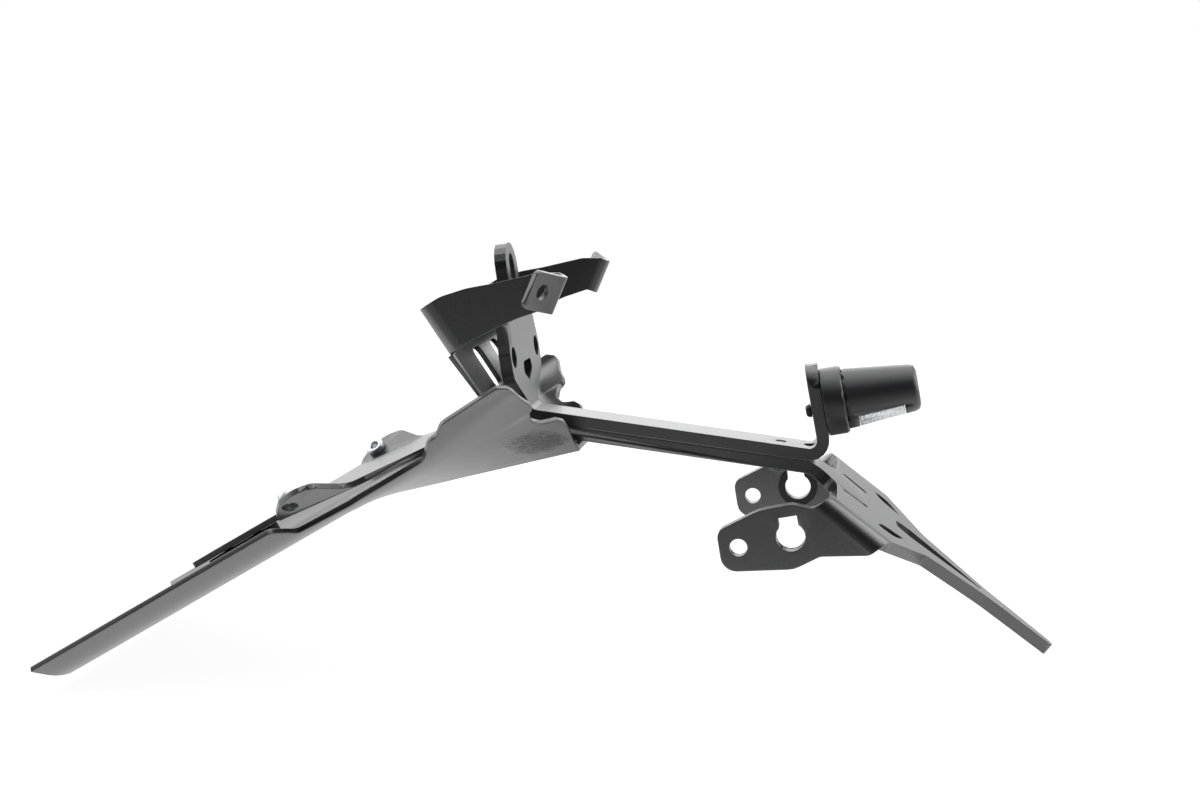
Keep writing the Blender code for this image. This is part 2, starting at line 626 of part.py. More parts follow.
def make_undertray(finish, parent):
    stations = [-TRAY_FRONT + step * (TRAY_FRONT - TROUGH_START) / 8 for step in range(9)]
    stations += [-TROUGH_START + step * (TROUGH_START + TRAY_REAR) / 10 for step in range(1, 11)]
    rows = []
    for x in stations:
        height, half = crease(x)
        lead = FLANK_LEAD * max(0.0, 1 - (x + TRAY_FRONT) / 0.03)
        bottom = Vector((x, TROUGH_HALF_WIDTH, height))
        if x > -TROUGH_START:
            share = (x + TROUGH_START) / (TROUGH_START + TRAY_REAR)
            bottom.x = -TROUGH_START + share * (TROUGH_START + TROUGH_END)
            bottom.z = trough_bottom(bottom.x)
        top = Vector((x - lead, half + FLANK_OUT, height + FLANK_UP))
        corner = Vector((x, half, height))
        shoulder = corner.lerp(bottom, 0.5)
        rise = max(0.0, 1 - (TRAY_REAR - x) / SHOULDER_LENGTH) ** 2
        raised = Vector((x + SHOULDER_REACH, SHOULDER_HALF_WIDTH, height - SHOULDER_DROP))
        line = [top] + eased(top, corner, bottom) + [shoulder.lerp(raised, rise), bottom]
        rows.append(line + [Vector((spot.x, -spot.y, spot.z)) for spot in reversed(line)])
    bm = bmesh.new()
    grid = [[bm.verts.new(point) for point in row] for row in rows]
    for left, right in zip(grid, grid[1:]):
        for i in range(len(left) - 1):
            bm.faces.new((left[i], right[i], right[i + 1], left[i + 1]))
    bmesh.ops.recalc_face_normals(bm, faces=bm.faces)
    if sum(face.normal.z for face in bm.faces) > 0:
        bmesh.ops.reverse_faces(bm, faces=bm.faces[:])
    made = add_object("undertray", bm, finish, Placed((0, 0, 0), 0.0), parent)
    shell = made.modifiers.new("Sheet", "SOLIDIFY")
    shell.thickness = SHEET_THICKNESS
    shell.offset = -1
    shell.use_even_offset = True
    wide = TRAY_FRONT_HALF_WIDTH + 2 * FLANK_OUT
    tall = 3 * FLANK_UP
    front, rear = -NOTCH_FRONT, -NOTCH_REAR
    sill_front = crease(front)[0] + NOTCH_SILL
    sill_rear = crease(rear)[0] + NOTCH_SILL
    middle = crease(-TRAY_FLOOR_END)[0] + NOTCH_SILL
    ledge = rear + NOTCH_LEDGE_LENGTH
    notch = prism("tray_notch_cutter", [
        (front - 0.004, crease(front - 0.004)[0] + FLANK_UP * 0.97), (front, sill_front + 0.004),
        (front + 0.004, crease(front + 0.004)[0] + NOTCH_SILL + 0.001),
        (-TRAY_FLOOR_END, middle), (rear - 0.003, crease(rear - 0.003)[0] + NOTCH_SILL),
        (rear, sill_rear + 0.002), (rear + 0.0008, crease(rear)[0] + FLANK_UP - NOTCH_LEDGE_DROP),
        (ledge - 0.0018, crease(ledge)[0] + FLANK_UP - NOTCH_LEDGE_DROP),
        (ledge, crease(ledge)[0] + FLANK_UP), (ledge, sill_rear + tall), (front - 0.004, sill_front + tall)],
        wide, finish, parent)
    cut(made, notch)
    end = crease(TRAY_REAR)[0]
    low = trough_bottom(TROUGH_END)
    rear_cutter = prism("tray_rear_cutter", [
        (TRAY_REAR - 0.0066, end + 3 * FLANK_UP), (TRAY_REAR - 0.0066, end + FLANK_UP * 0.91),
        (TRAY_REAR - 0.0043, end + FLANK_UP * 0.87), (TRAY_REAR - 0.0025, end + FLANK_UP * 0.63),
        (TRAY_REAR - 0.0005, end + FLANK_UP * 0.12), (TRAY_REAR + 0.0022, end - 0.0036),
        (TRAY_REAR + 0.0010, end - 0.0060), (TRAY_REAR, end - 0.0095), (TRAY_REAR + 0.005, low + 0.0115),
        (TROUGH_END - 0.005, low + 0.0105),
        (TROUGH_END - 0.002, low + 0.006), (TROUGH_END - 0.001, low - 0.006),
        (TROUGH_END + 0.01, low - 0.006), (TROUGH_END + 0.01, end + 3 * FLANK_UP)], wide, finish, parent)
    cut(made, rear_cutter)
    return made


def make_upper_bracket(finish, parent):
    fold_line = SIDE_ARM_SPACING / 2 - BRACKET_THICKNESS / 2 - SIDE_ARM_BEND_RADIUS
    arm_zero = fold_line + SIDE_ARM_BEND_RADIUS * (math.pi / 2 - 1)
    beside_leg = LEG_HALF_WIDTH + BRACKET_THICKNESS / 2
    upper = Vector((END_TAB_RISE, arm_zero + SIDE_ARM_REACH))
    along = Vector((-math.cos(END_TAB_LINE_ANGLE), -math.sin(END_TAB_LINE_ANGLE)))
    outward = Vector((along.y, -along.x))
    lower = upper + along * END_TAB_WIDTH
    length = END_TAB_BEND_RADIUS * END_TAB_ANGLE + END_TAB_LENGTH
    half = [
        (-LEG_FOOT, LEG_HALF_WIDTH - LEG_NARROWING, 0.001),
        (-LEG_CHAMFER_START, LEG_HALF_WIDTH - LEG_NARROWING / 2, 0.002),
        (-2 * LEG_RELIEF, LEG_HALF_WIDTH, 0.0005),
        (-2 * LEG_RELIEF, fold_line, 0),
        (-LEG_RELIEF, fold_line, 0),
        (-LEG_RELIEF, arm_zero + 0.0070, 0.010),
        (-0.0019, arm_zero + 0.0204, 0.020),
        (-0.0034, arm_zero + 0.0300, 0.020),
        (lower.x, lower.y, 0.002),
        (*(lower + outward * length), 0.0022),
        (*(upper + outward * length), 0.0022),
        (upper.x, upper.y, 0.002),
        (0.0064, arm_zero + 0.0460, 0.008),
        (0.0128, arm_zero + 0.0290, 0.030),
        (0.0167, arm_zero + 0.0200, 0.030),
        (0.0196, arm_zero + 0.0098, 0.012),
        (LEG_TOP, fold_line, 0.004),
    ]
    hole = upper + along * END_TAB_WIDTH / 2 + outward * (length - END_TAB_HOLE_SETBACK)
    openings = []
    for side in (1, -1):
        y = side * LEG_SLOT_SPACING / 2
        reach = LEG_SLOT_WIDTH / 2
        openings.append(rounded([(x, y + across, LEG_SLOT_CORNER) for x, across in (
            (-LEG_SLOT_END, -reach), (-LEG_SLOT_START, -reach), (-LEG_SLOT_START, reach), (-LEG_SLOT_END, reach))]))
        openings.append(circle(hole.x, side * hole.y, END_TAB_HOLE_DIAMETER))
    folds = []
    for side in (1, -1):
        folds.append(Fold((0, side * fold_line), (0, side), SIDE_ARM_BEND_RADIUS, -math.pi / 2,
                          lambda x, y, side=side: y * side > 0 and (x > -1.5 * LEG_RELIEF or abs(y) > beside_leg)))
    for side in (1, -1):
        folds.append(Fold((upper.x, side * upper.y), (outward.x, side * outward.y),
                          END_TAB_BEND_RADIUS, END_TAB_ANGLE,
                          lambda x, y, side=side: y * side > arm_zero + SIDE_ARM_REACH / 2))
    sheet = fold_sheet(flat_sheet(rounded(mirrored(half)), openings, BRACKET_THICKNESS), folds)
    place = Placed((-LEG_SETBACK, 0, LEG_HEIGHT), -LEG_TILT)
    return add_object("upper_bracket", sheet, finish, place, parent)


def make_ear_bracket(finish, parent):
    ear_zero = EAR_FOLD_HALF_WIDTH
    end = EAR_START + EAR_LENGTH
    turn = TONGUE_SLOPE - WEB_SLOPE
    half = [
        (-TONGUE_LENGTH, TONGUE_HALF_WIDTH, 0.0015),
        (-0.0030, TONGUE_HALF_WIDTH, 0.012),
        (EAR_START, ear_zero - 0.006, 0.004),
        (EAR_START, ear_zero, 0.001),
        (EAR_START + 0.0008, ear_zero + EAR_WIDTH * 0.30, 0.005),
        (EAR_START + 0.0062, ear_zero + EAR_WIDTH * 0.80, 0.008),
        (EAR_START + 0.0140, ear_zero + EAR_WIDTH, 0.010),
        (end - 0.0130, ear_zero + EAR_WIDTH * 0.94, 0.006),
        (end - 0.0050, ear_zero + EAR_WIDTH * 0.28, 0.004),
        (end + 0.0035, WEB_HALF_WIDTH, 0.003),
        (WEB_LENGTH, WEB_END_HALF_WIDTH, 0.002),
    ]
    openings = []
    for side in (1, -1):
        openings.append(circle(EAR_START + EAR_HOLE_ALONG + 0.0015, side * (ear_zero + EAR_HOLE_OUT),
                               EAR_HOLE_DIAMETER))
    folds = [
        Fold((0, ear_zero), (0, 1), EAR_FOLD_RADIUS, EAR_FOLD_ANGLE, everywhere),
        Fold((0, -ear_zero), (0, -1), EAR_FOLD_RADIUS, EAR_FOLD_ANGLE, everywhere),
        Fold((-0.0030, 0), (-1, 0), TONGUE_BEND_RADIUS, -turn, lambda x, y: abs(y) < TONGUE_HALF_WIDTH * 1.5),
    ]
    sheet = fold_sheet(flat_sheet(rounded(mirrored(half)), openings, SHEET_THICKNESS), folds)
    place = Placed((-WEB_FRONT, 0, -WEB_FRONT_DROP), -WEB_SLOPE)
    return add_object("ear_bracket", sheet, finish, place, parent)


def clinch_nut_place(side):
    """On the inner face of an ear of the ear bracket, over its hole."""
    reach = EAR_HOLE_OUT - EAR_FOLD_RADIUS * EAR_FOLD_ANGLE
    radius = EAR_FOLD_RADIUS
    inner = SHEET_THICKNESS / 2 + GAP
    y = radius * math.sin(EAR_FOLD_ANGLE) + reach * math.cos(EAR_FOLD_ANGLE) - inner * math.sin(EAR_FOLD_ANGLE)
    z = radius * (1 - math.cos(EAR_FOLD_ANGLE)) + reach * math.sin(EAR_FOLD_ANGLE) + inner * math.cos(EAR_FOLD_ANGLE)
    spot = tilt_vector(EAR_START + EAR_HOLE_ALONG + 0.0015, z, -WEB_SLOPE)
    spot += Vector((-WEB_FRONT, side * (EAR_FOLD_HALF_WIDTH + y), -WEB_FRONT_DROP))
    turn = Matrix.Rotation(-WEB_SLOPE, 4, "Y") @ Matrix.Rotation(side * EAR_FOLD_ANGLE, 4, "X")
    return Matrix.Translation(spot) @ turn


def make_clinch_nut(name, side, finish, parent):
    outer = CLINCH_NUT_DIAMETER / 2
    bore_radius = SCREW_DIAMETER / 2
    bm = bmesh.new()
    profile = [(outer, 0), (outer, CLINCH_NUT_HEIGHT - 0.0005), (outer - 0.0006, CLINCH_NUT_HEIGHT),
               (bore_radius + 0.0004, CLINCH_NUT_HEIGHT), (bore_radius, CLINCH_NUT_HEIGHT - 0.0004),
               (bore_radius, 0)]
    verts = [bm.verts.new((radius, 0, height)) for radius, height in profile]
    edges = [bm.edges.new(pair) for pair in zip(verts, verts[1:] + verts[:1])]
    bmesh.ops.spin(bm, geom=verts + edges, cent=(0, 0, 0), axis=(0, 0, 1), angle=math.tau,
                   steps=20, use_merge=True, use_duplicate=False)
    bmesh.ops.remove_doubles(bm, verts=bm.verts, dist=1e-6)
    bmesh.ops.recalc_face_normals(bm, faces=bm.faces)
    made = add_object(name, bm, finish, Placed((0, 0, 0), 0.0), parent)
    made.matrix_local = clinch_nut_place(side)
    smooth(made)
    return made


def tongue_mid(distance):
    """A point of the tongue's mid-plane, a distance along it from its bend."""
    start = tilt_vector(-0.0030, 0, -WEB_SLOPE) + Vector((-WEB_FRONT, 0, -WEB_FRONT_DROP))
    return start + tilt_vector(-distance, 0, -TONGUE_SLOPE)


def wedge_front():
    """Left end of the wedge, just beyond the lower arm's own end."""
    return ARM_LENGTH - PLATE_CORNER_SETBACK - LOWER_ARM_LENGTH - WEDGE_OVERHANG


def make_blocks(finish, metal, parent):
    half = SHEET_THICKNESS / 2
    profile = []
    for distance in (BLOCK_REAR, BLOCK_FRONT):
        below = tongue_mid(distance) + tilt_vector(0, -half - GAP, -TONGUE_SLOPE)
        profile.append((below.x, below.z))
    for x in (profile[1][0] + 0.004, profile[0][0] + 0.004):
        floor = crease(x)[0] + SHEET_THICKNESS / math.cos(TRAY_FLOOR_SLOPE) + GAP
        profile.append((x, floor))
    block = prism("tongue_block", profile, BLOCK_HALF_WIDTH, finish, parent)
    under = -(1.5 * PLATE_THICKNESS + 2 * GAP)
    profile = []
    front = wedge_front()
    for x in (front, front + WEDGE_LENGTH):
        top = tilt_vector(x, under, ARM_SLOPE)
        profile.append((top.x, top.z))
    for x in (front + WEDGE_LENGTH, front):
        profile.append((x, trough_bottom(x) + SHEET_THICKNESS / math.cos(TROUGH_SLOPE) + GAP))
    wedge = prism("arm_wedge", profile, WEDGE_HALF_WIDTH, metal, parent)
    return block, wedge


def make_lamp(finishes, parent):
    """The lamp's pieces, each along the lamp's axis, which stands square on the lamp tab."""
    tab_foot = tilt_vector(ARM_LENGTH, 0, ARM_SLOPE)
    up = tilt_vector(0, 1, -LAMP_TAB_LEAN)
    out = tilt_vector(1, 0, -LAMP_TAB_LEAN)
    face = tab_foot + up * LAMP_HEIGHT + out * (PLATE_THICKNESS / 2)
    tilt = math.pi / 2 - LAMP_TAB_LEAN
    ring_place = Placed(face + out * GAP, tilt)
    ring = RING_DIAMETER / 2
    turned("lamp_gasket", [(ring - 0.0004, 0), (ring, 0.0004), (ring, RING_THICKNESS - 0.0006),
                           (ring - 0.0006, RING_THICKNESS)], finishes["rubber"], ring_place, parent, 32)
    place = Placed(face + out * (RING_THICKNESS + 2 * GAP), tilt)
    start, last = HOUSING_DIAMETER / 2, HOUSING_END_DIAMETER / 2
    side = [(start, 0), (start, 0.002), (last, HOUSING_LENGTH - HOUSING_EDGE),
            (last - HOUSING_EDGE * 0.3, HOUSING_LENGTH - HOUSING_EDGE * 0.3),
            (last - HOUSING_EDGE, HOUSING_LENGTH)]
    housing = turned("lamp_housing", side, finishes["lamp"], place, parent, 32)
    wide = RING_DIAMETER
    window = box_cutter("lamp_window_cutter", [
        (WINDOW_RISE_FRONT, WINDOW_FRONT), (WINDOW_RISE_BACK, WINDOW_BACK),
        (wide, WINDOW_BACK), (wide, WINDOW_FRONT)], wide, place, parent, finishes["lamp"])
    cut(housing, window)
    slope = (WINDOW_RISE_BACK - WINDOW_RISE_FRONT) / (WINDOW_BACK - WINDOW_FRONT)
    near, back = WINDOW_FRONT + POCKET_WALL, WINDOW_BACK - POCKET_WALL

    def flat(height):
        return WINDOW_RISE_FRONT + slope * (height - WINDOW_FRONT)

    ceiling = flat(back) - POCKET_DEPTH
    pocket = box_cutter("lamp_pocket_cutter", [
        (ceiling, near), (ceiling, back), (wide, back), (wide, near)],
        POCKET_HALF_WIDTH, place, parent, finishes["lamp"])
    cut(housing, pocket)
    box_cutter("lamp_board", [
        (ceiling + GAP, near + GAP), (ceiling + GAP, back - GAP),
        (ceiling + GAP + BOARD_THICKNESS, back - GAP), (ceiling + GAP + BOARD_THICKNESS, near + GAP)],
        POCKET_HALF_WIDTH - GAP, place, parent, finishes["board"])
    base = ceiling + BOARD_THICKNESS + 2 * GAP
    for index in range(LED_COUNT):
        middle = near + (back - near) * (index + 0.5) / LED_COUNT
        box_cutter("lamp_led_%d" % (index + 1), [
            (base, middle - LED_SIZE / 2), (base, middle + LED_SIZE / 2),
            (base + LED_HEIGHT, middle + LED_SIZE / 2), (base + LED_HEIGHT, middle - LED_SIZE / 2)],
            LED_SIZE / 2, place, parent, finishes["led"])
    make_lens(flat, finishes["lens"], place, parent)
    grip = PLATE_THICKNESS + RING_THICKNESS + 4 * GAP
    head = Placed(face - out * (PLATE_THICKNESS + GAP) - up * LAMP_SCREW_DROP, tilt)
    screw("lamp_screw", grip, finishes["black_screw"], head, parent, LAMP_SCREW_HEAD_DIAMETER)
    return housing, head, grip


def box_cutter(name, profile, half_width, place, parent, finish):
    """A prism across local Y from a local (x, z) profile, placed as the lamp is."""
    made = prism(name, profile, half_width, finish, parent)
    made.location = place.location
    made.rotation_euler = (0.0, place.tilt, 0.0)
    return made


def make_lens(flat, finish, place, parent):
    """The clear lens: a shallow segment under the window, with flat facets along it."""
    near, back = WINDOW_FRONT + GAP, WINDOW_BACK - GAP
    bm = bmesh.new()
    ends = []
    for height in (near, back):
        share = (height - 0.002) / (HOUSING_LENGTH - HOUSING_EDGE - 0.002)
        radius = (HOUSING_DIAMETER + (HOUSING_END_DIAMETER - HOUSING_DIAMETER) * share) / 2
        top = flat(height) + GAP
        edge = math.acos(min(top / radius, 0.99))
        ring = []
        for step in range(7):
            angle = edge - 2 * edge * step / 6
            ring.append(bm.verts.new((max(radius * math.cos(angle), top), radius * math.sin(angle) * 0.98, height)))
        ends.append(ring)
    bm.faces.new(list(reversed(ends[0])))
    bm.faces.new(ends[1])
    for i in range(7):
        bm.faces.new((ends[0][i], ends[0][(i + 1) % 7], ends[1][(i + 1) % 7], ends[1][i]))
    bmesh.ops.recalc_face_normals(bm, faces=bm.faces)
    return add_object("lamp_lens", bm, finish, place, parent)


def stand_on_floor(carrier):
    """Lift the carrier so that the holder stands on z = 0, with its box centred on the origin."""
    bpy.context.view_layer.update()
    graph = bpy.context.evaluated_depsgraph_get()
    low, high = Vector((1e9,) * 3), Vector((-1e9,) * 3)
    for item in carrier.children:
        if item.hide_render:
            continue
        shape = item.evaluated_get(graph)
        for vert in shape.data.vertices:
            spot = shape.matrix_world @ vert.co
            low = Vector(map(min, low, spot))
            high = Vector(map(max, high, spot))
    carrier.location = (-(low.x + high.x) / 2, -(low.y + high.y) / 2, -low.z)


def main():
    clear_scene()
    finishes = {
        "coat": material("black powder coat", (0.030, 0.031, 0.034), 0.42, 0.0),
        "lamp": material("black lamp moulding", (0.022, 0.022, 0.024), 0.38, 0.0),
        "rubber": material("black rubber", (0.018, 0.018, 0.019), 0.75, 0.0),
        "zinc": material("zinc plated steel", (0.52, 0.54, 0.56), 0.32, 1.0),
        "black_screw": material("blackened steel", (0.035, 0.036, 0.040), 0.40, 0.6),
        "lens": material("clear lens", (0.85, 0.88, 0.90), 0.08, 0.0, 0.9),
        "board": material("white circuit board", (0.70, 0.72, 0.70), 0.55, 0.0),
        "led": material("white diode", (0.90, 0.86, 0.62), 0.30, 0.0),
        "alloy": material("plain aluminium", (0.60, 0.61, 0.62), 0.38, 1.0),
    }
    carrier = bpy.data.objects.new("holder", None)
    bpy.context.collection.objects.link(carrier)
    coat = finishes["coat"]
    tray = make_undertray(coat, carrier)
    upper = make_upper_arm(coat, carrier)
    lower = make_plate_holder(coat, carrier)
    make_upper_bracket(coat, carrier)
    ears = make_ear_bracket(coat, carrier)
    for name, side in (("clinch_nut_near", -1), ("clinch_nut_far", 1)):
        make_clinch_nut(name, side, finishes["zinc"], carrier)
    block, wedge = make_blocks(finishes["rubber"], finishes["alloy"], carrier)
    for name, side in (("indicator_washer_near", -1), ("indicator_washer_far", 1)):
        make_indicator_washer(name, side, finishes["rubber"], carrier)
    housing, lamp_head, lamp_grip = make_lamp(finishes, carrier)
    gasket = bpy.data.objects["lamp_gasket"]
    bore("lamp_bore", [upper, gasket, housing], lamp_head, carrier, coat, -0.001, lamp_grip + GAP)

    black = finishes["black_screw"]
    under = -(1.5 * PLATE_THICKNESS + GAP)
    head = Placed(tilt_vector(ARM_LENGTH - ARM_SCREW_FRONT_SETBACK, under, ARM_SLOPE), ARM_SLOPE)
    screw("arm_screw_front", 2 * PLATE_THICKNESS, black, head, carrier)
    bore("arm_bore_front", [upper, lower], head, carrier, coat, -0.002, 3 * PLATE_THICKNESS)
    head = Placed(tilt_vector(ARM_SCREW_REAR, under, ARM_SLOPE), ARM_SLOPE)
    blind = PLATE_THICKNESS * 1.6
    sunk_screw("arm_screw_rear", blind, black, head, carrier)
    sunk_bore("arm_bore_rear", [upper, lower], head, carrier, coat, -0.002, blind + GAP)
    for name, step in zip(("wedge_screw_front", "wedge_screw_rear"), WEDGE_SCREWS):
        along = wedge_front() + step
        foot = Vector((along, 0, trough_bottom(along)))
        rise = tilt_vector(along, under, ARM_SLOPE).z - foot.z
        grip = SHEET_THICKNESS + (rise - SHEET_THICKNESS) * WEDGE_SCREW_SHARE
        head = Placed(foot, -TROUGH_SLOPE)
        sunk_screw(name, grip, black, head, carrier)
        sunk_bore(name + "_bore", [tray, wedge], head, carrier, coat, -0.003, grip + GAP)
    for name, along in zip(("tongue_screw_rear", "tongue_screw_front"), TONGUE_SCREWS):
        top = tongue_mid(along)
        height = top.z - crease(top.x)[0]
        reach = height * math.cos(TRAY_FLOOR_SLOPE)
        head = Placed(top + tilt_vector(0, -reach, -TONGUE_SLOPE), -TONGUE_SLOPE)
        sunk_screw(name, reach + SHEET_THICKNESS / 2, black, head, carrier)
        sunk_bore(name + "_bore", [tray, block, ears], head, carrier, coat, -0.003, reach + 0.005)
    stand_on_floor(carrier)


if __name__ == "__main__":
    main()
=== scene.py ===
"""Dresses the number plate holder: powder-coated sheets, lamp, nuts and screws, and the studio round them."""
import math

import bmesh
import bpy
from bpy.props import FloatProperty, FloatVectorProperty, PointerProperty
from mathutils import Matrix, Vector


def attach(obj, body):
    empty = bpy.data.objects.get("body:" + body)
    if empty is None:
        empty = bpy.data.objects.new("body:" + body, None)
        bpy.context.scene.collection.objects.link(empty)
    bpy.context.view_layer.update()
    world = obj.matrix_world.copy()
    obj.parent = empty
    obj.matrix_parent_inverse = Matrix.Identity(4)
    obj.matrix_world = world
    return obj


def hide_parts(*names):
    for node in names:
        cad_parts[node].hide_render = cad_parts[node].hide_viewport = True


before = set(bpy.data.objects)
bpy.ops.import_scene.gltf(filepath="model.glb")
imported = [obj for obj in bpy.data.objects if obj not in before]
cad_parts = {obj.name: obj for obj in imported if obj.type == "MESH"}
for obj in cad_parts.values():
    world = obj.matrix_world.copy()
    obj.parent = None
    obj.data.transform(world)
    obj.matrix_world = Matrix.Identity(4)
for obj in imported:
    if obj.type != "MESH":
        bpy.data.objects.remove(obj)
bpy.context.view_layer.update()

bl_info = {
    "name": "Number plate holder",
    "version": (1, 0, 0),
    "blender": (4, 5, 0),
    "location": "3D View > Sidebar > Holder",
    "description": "Dresses a folded-sheet number plate holder and sets up its studio",
    "category": "Add Mesh",
}

SHEETS = ("upper_arm", "plate_holder", "upper_bracket", "ear_bracket")
RUBBER = ("tongue_block", "indicator_washer_near", "indicator_washer_far")
BLACK_SCREWS = ("arm_screw_rear", "arm_screw_front", "wedge_screw_front", "wedge_screw_rear",
                "tongue_screw_rear", "tongue_screw_front", "lamp_screw")
CLINCH_NUTS = ("clinch_nut_near", "clinch_nut_far")
DIODES = ("lamp_led_1", "lamp_led_2", "lamp_led_3")

# How copies of the solids are joined and shaded
MERGE_DISTANCE = 0.000002
SMOOTH_ANGLE = math.radians(36.0)
LAMP_SMOOTH_ANGLE = math.radians(50.0)
WEIGHTED_NORMAL_SHARE = 80

# The lamp leans back with its tab; its ring comes forward by this much to meet the housing
LAMP_AXIS = Vector((math.cos(math.radians(9.0)), 0.0, math.sin(math.radians(9.0))))
RING_SEAM = 0.00045

# Undertray, in metres from the corner between arm and upright; the shift takes it to the holder's place
TRAY_SHIFT = Vector((-0.008432, 0.0, 0.100392))
TRAY_FRONT = -0.1838
TRAY_FLOOR_END = -0.0626
TRAY_FLOOR_HEIGHT = -0.0321
TRAY_FLOOR_SLOPE = math.radians(28.6)
TRAY_REAR = 0.0061
TRAY_REAR_SLOPE = math.radians(32.2)
TRAY_FRONT_HALF = 0.0571
TRAY_REAR_HALF = 0.0420
FLANK_OUT = 0.0117
FLANK_UP = 0.0101
FLANK_LEAD = 0.0072
FLANK_LEAD_REACH = 0.03
CREASE_BEND = 0.0090
TROUGH_START = -0.0660
TROUGH_END = 0.0235
TROUGH_HALF = 0.0140
TROUGH_SLOPE = math.radians(12.4)
SHOULDER_LENGTH = 0.0180
SHOULDER_LIFT = Vector((0.0020, -0.0020, 0.0050))

# Faint ridge that leaves the crease towards the flank's top; its end and foot are shares across the sheet
RIDGE_START = -0.0560
RIDGE_END = 0.24
RIDGE_FOOT = 1.30
RIDGE_TIP = 0.100
RIDGE_FADE = 0.905
RIDGE_LIFT = Vector((0.0009, 0.0013, -0.0015))

# Cut edges: how much of the flank stands at each X, and where the rear edge lies at each share across
EDGE_START = -0.0120
FLANK_EDGE = ((-0.2000, 1.0), (-0.0912, 1.0), (-0.0870, 0.69), (-0.0830, 0.40), (-0.0626, 0.30),
              (-0.0335, 0.30), (-0.0305, 0.50), (-0.0297, 0.74), (-0.0251, 0.74), (-0.0233, 1.0),
              (0.0400, 1.0))
FLANK_EDGE_EASE = 0.0012
REAR_EDGE = ((0.0, -0.0015), (0.04, -0.0005), (0.13, 0.0018), (0.37, 0.0037), (0.88, 0.0056),
             (1.0, 0.0061), (1.14, 0.0058), (1.24, 0.0025), (1.37, 0.0001), (1.47, 0.0007),
             (1.55, 0.0021), (1.58, 0.0055), (1.7, 0.0061), (2.0, 0.0056))
REAR_EDGE_EASE = 0.03
EASE_STEPS = 3
RIM_SHARE = 0.7
RIM_ANGLE = math.radians(55.0)

# Lines of the undertray's grid: first place, gap and number along X, then shares from flank to middle
TRAY_STATIONS = ((TRAY_FRONT, 0.008, 11), (-0.0938, 0.0013, 11), (-0.0785, 0.004, 10),
                 (-0.0376, 0.0010, 19), (-0.0180, 0.003, 5), (-0.0036, 0.0022, 4), (0.0046, 0.0, 1),
                 (TRAY_REAR, 0.0, 1))
FLANK_ROWS = 6
SIDE_SHARES = (1.03, 1.06, 1.10, 1.14, 1.19, 1.24, 1.30, 1.37, 1.42, 1.47, 1.51, 1.55, 1.58, 1.64,
               1.72, 1.82, 1.91, 2.0)

# Crinkled patch: centre along X and Z, how fast it fades along X and Z, and where it starts across
CRINKLE_CENTRE = (-0.0014, 0.0903)
CRINKLE_FADE = (6000.0, 26000.0)
CRINKLE_INNER = 0.016
CRINKLE_STRETCH = (330.0, 60.0, 1050.0)

# Colours of the finishes
RUBBER_BLACK, RUBBER_DUST = (0.014, 0.014, 0.015), (0.034, 0.034, 0.035)
ZINC_DULL, ZINC_BRIGHT = (0.42, 0.44, 0.47), (0.66, 0.68, 0.70)
STEEL_BLACK, STEEL_BARE = (0.026, 0.027, 0.030), (0.30, 0.30, 0.31)
ALLOY_MARK, ALLOY_BRIGHT = (0.52, 0.53, 0.54), (0.68, 0.69, 0.70)
LENS_HAZY, LENS_CLEAR = (0.90, 0.92, 0.94), (0.98, 0.985, 0.99)
BOARD_LIGHT, BOARD_SHADE = (0.74, 0.76, 0.74), (0.70, 0.72, 0.70)
BOARD_TRACK, BOARD_DUST = (0.52, 0.60, 0.52), (0.80, 0.80, 0.78)
DIODE_DEEP, DIODE_PALE = (0.86, 0.74, 0.30), (0.95, 0.90, 0.62)

# Studio: camera, floor and lamps (name, place, aim, size); the table's lamps lie on the floor
CAMERA_PLACE = (0.12037, -0.6384, 0.19389)
CAMERA_TURN = (81.953, 1.937, 8.568)
SENSOR_WIDTH = 36.0
FLOOR_SIZE = 12.0
FLOOR_WHITE, FLOOR_FRONT = (0.80, 0.80, 0.80), (0.34, 0.34, 0.34)
TABLE_FRONT = -0.17
TABLE_FADE = 14.0
TABLE_GLOW = 1.16
GLOW_SHARE = 0.80
LAMPS = (
    ("top", (0.05, 0.25, 1.15), (0.0, 0.0, 0.08), (1.3, 1.3)),
    ("rear", (-0.25, 1.35, 0.75), (0.0, 0.0, 0.10), (1.6, 0.9)),
    ("right", (1.25, 0.25, 0.60), (0.0, 0.0, 0.12), (1.0, 1.0)),
    ("left", (-1.20, 0.45, 0.80), (0.0, 0.0, 0.12), (1.0, 1.0)),
    ("rim", (0.05, -0.50, 0.95), (0.0, 0.0, 0.09), (1.1, 0.10)),
    ("table", (-0.10, -0.02, 0.0004), (-0.10, -0.02, 1.0), (0.32, 0.22)),
    ("table_edge", (-0.05, -0.122, 0.0004), (-0.05, -0.08, 1.0), (0.34, 0.018)),
)


class Value:
    """A shader socket that takes part in Python sums; each sum adds a Math node."""

    def __init__(self, tree, socket):
        self.tree = tree
        self.socket = socket

    def math(self, operation, first, second=None):
        made = self.tree.nodes.new("ShaderNodeMath")
        made.operation = operation
        for slot, value in zip(made.inputs, (first, second)):
            if isinstance(value, Value):
                self.tree.links.new(value.socket, slot)
            elif value is not None:
                slot.default_value = value
        return Value(self.tree, made.outputs[0])

    def __add__(self, other):
        return self.math("ADD", self, other)

    def __radd__(self, other):
        return self.math("ADD", other, self)

    def __sub__(self, other):
        return self.math("SUBTRACT", self, other)

    def __rsub__(self, other):
        return self.math("SUBTRACT", other, self)

    def __mul__(self, other):
        return self.math("MULTIPLY", self, other)

    def __rmul__(self, other):
        return self.math("MULTIPLY", other, self)

    def clamped(self):
        return self.math("MINIMUM", self.math("MAXIMUM", self, 0.0), 1.0)


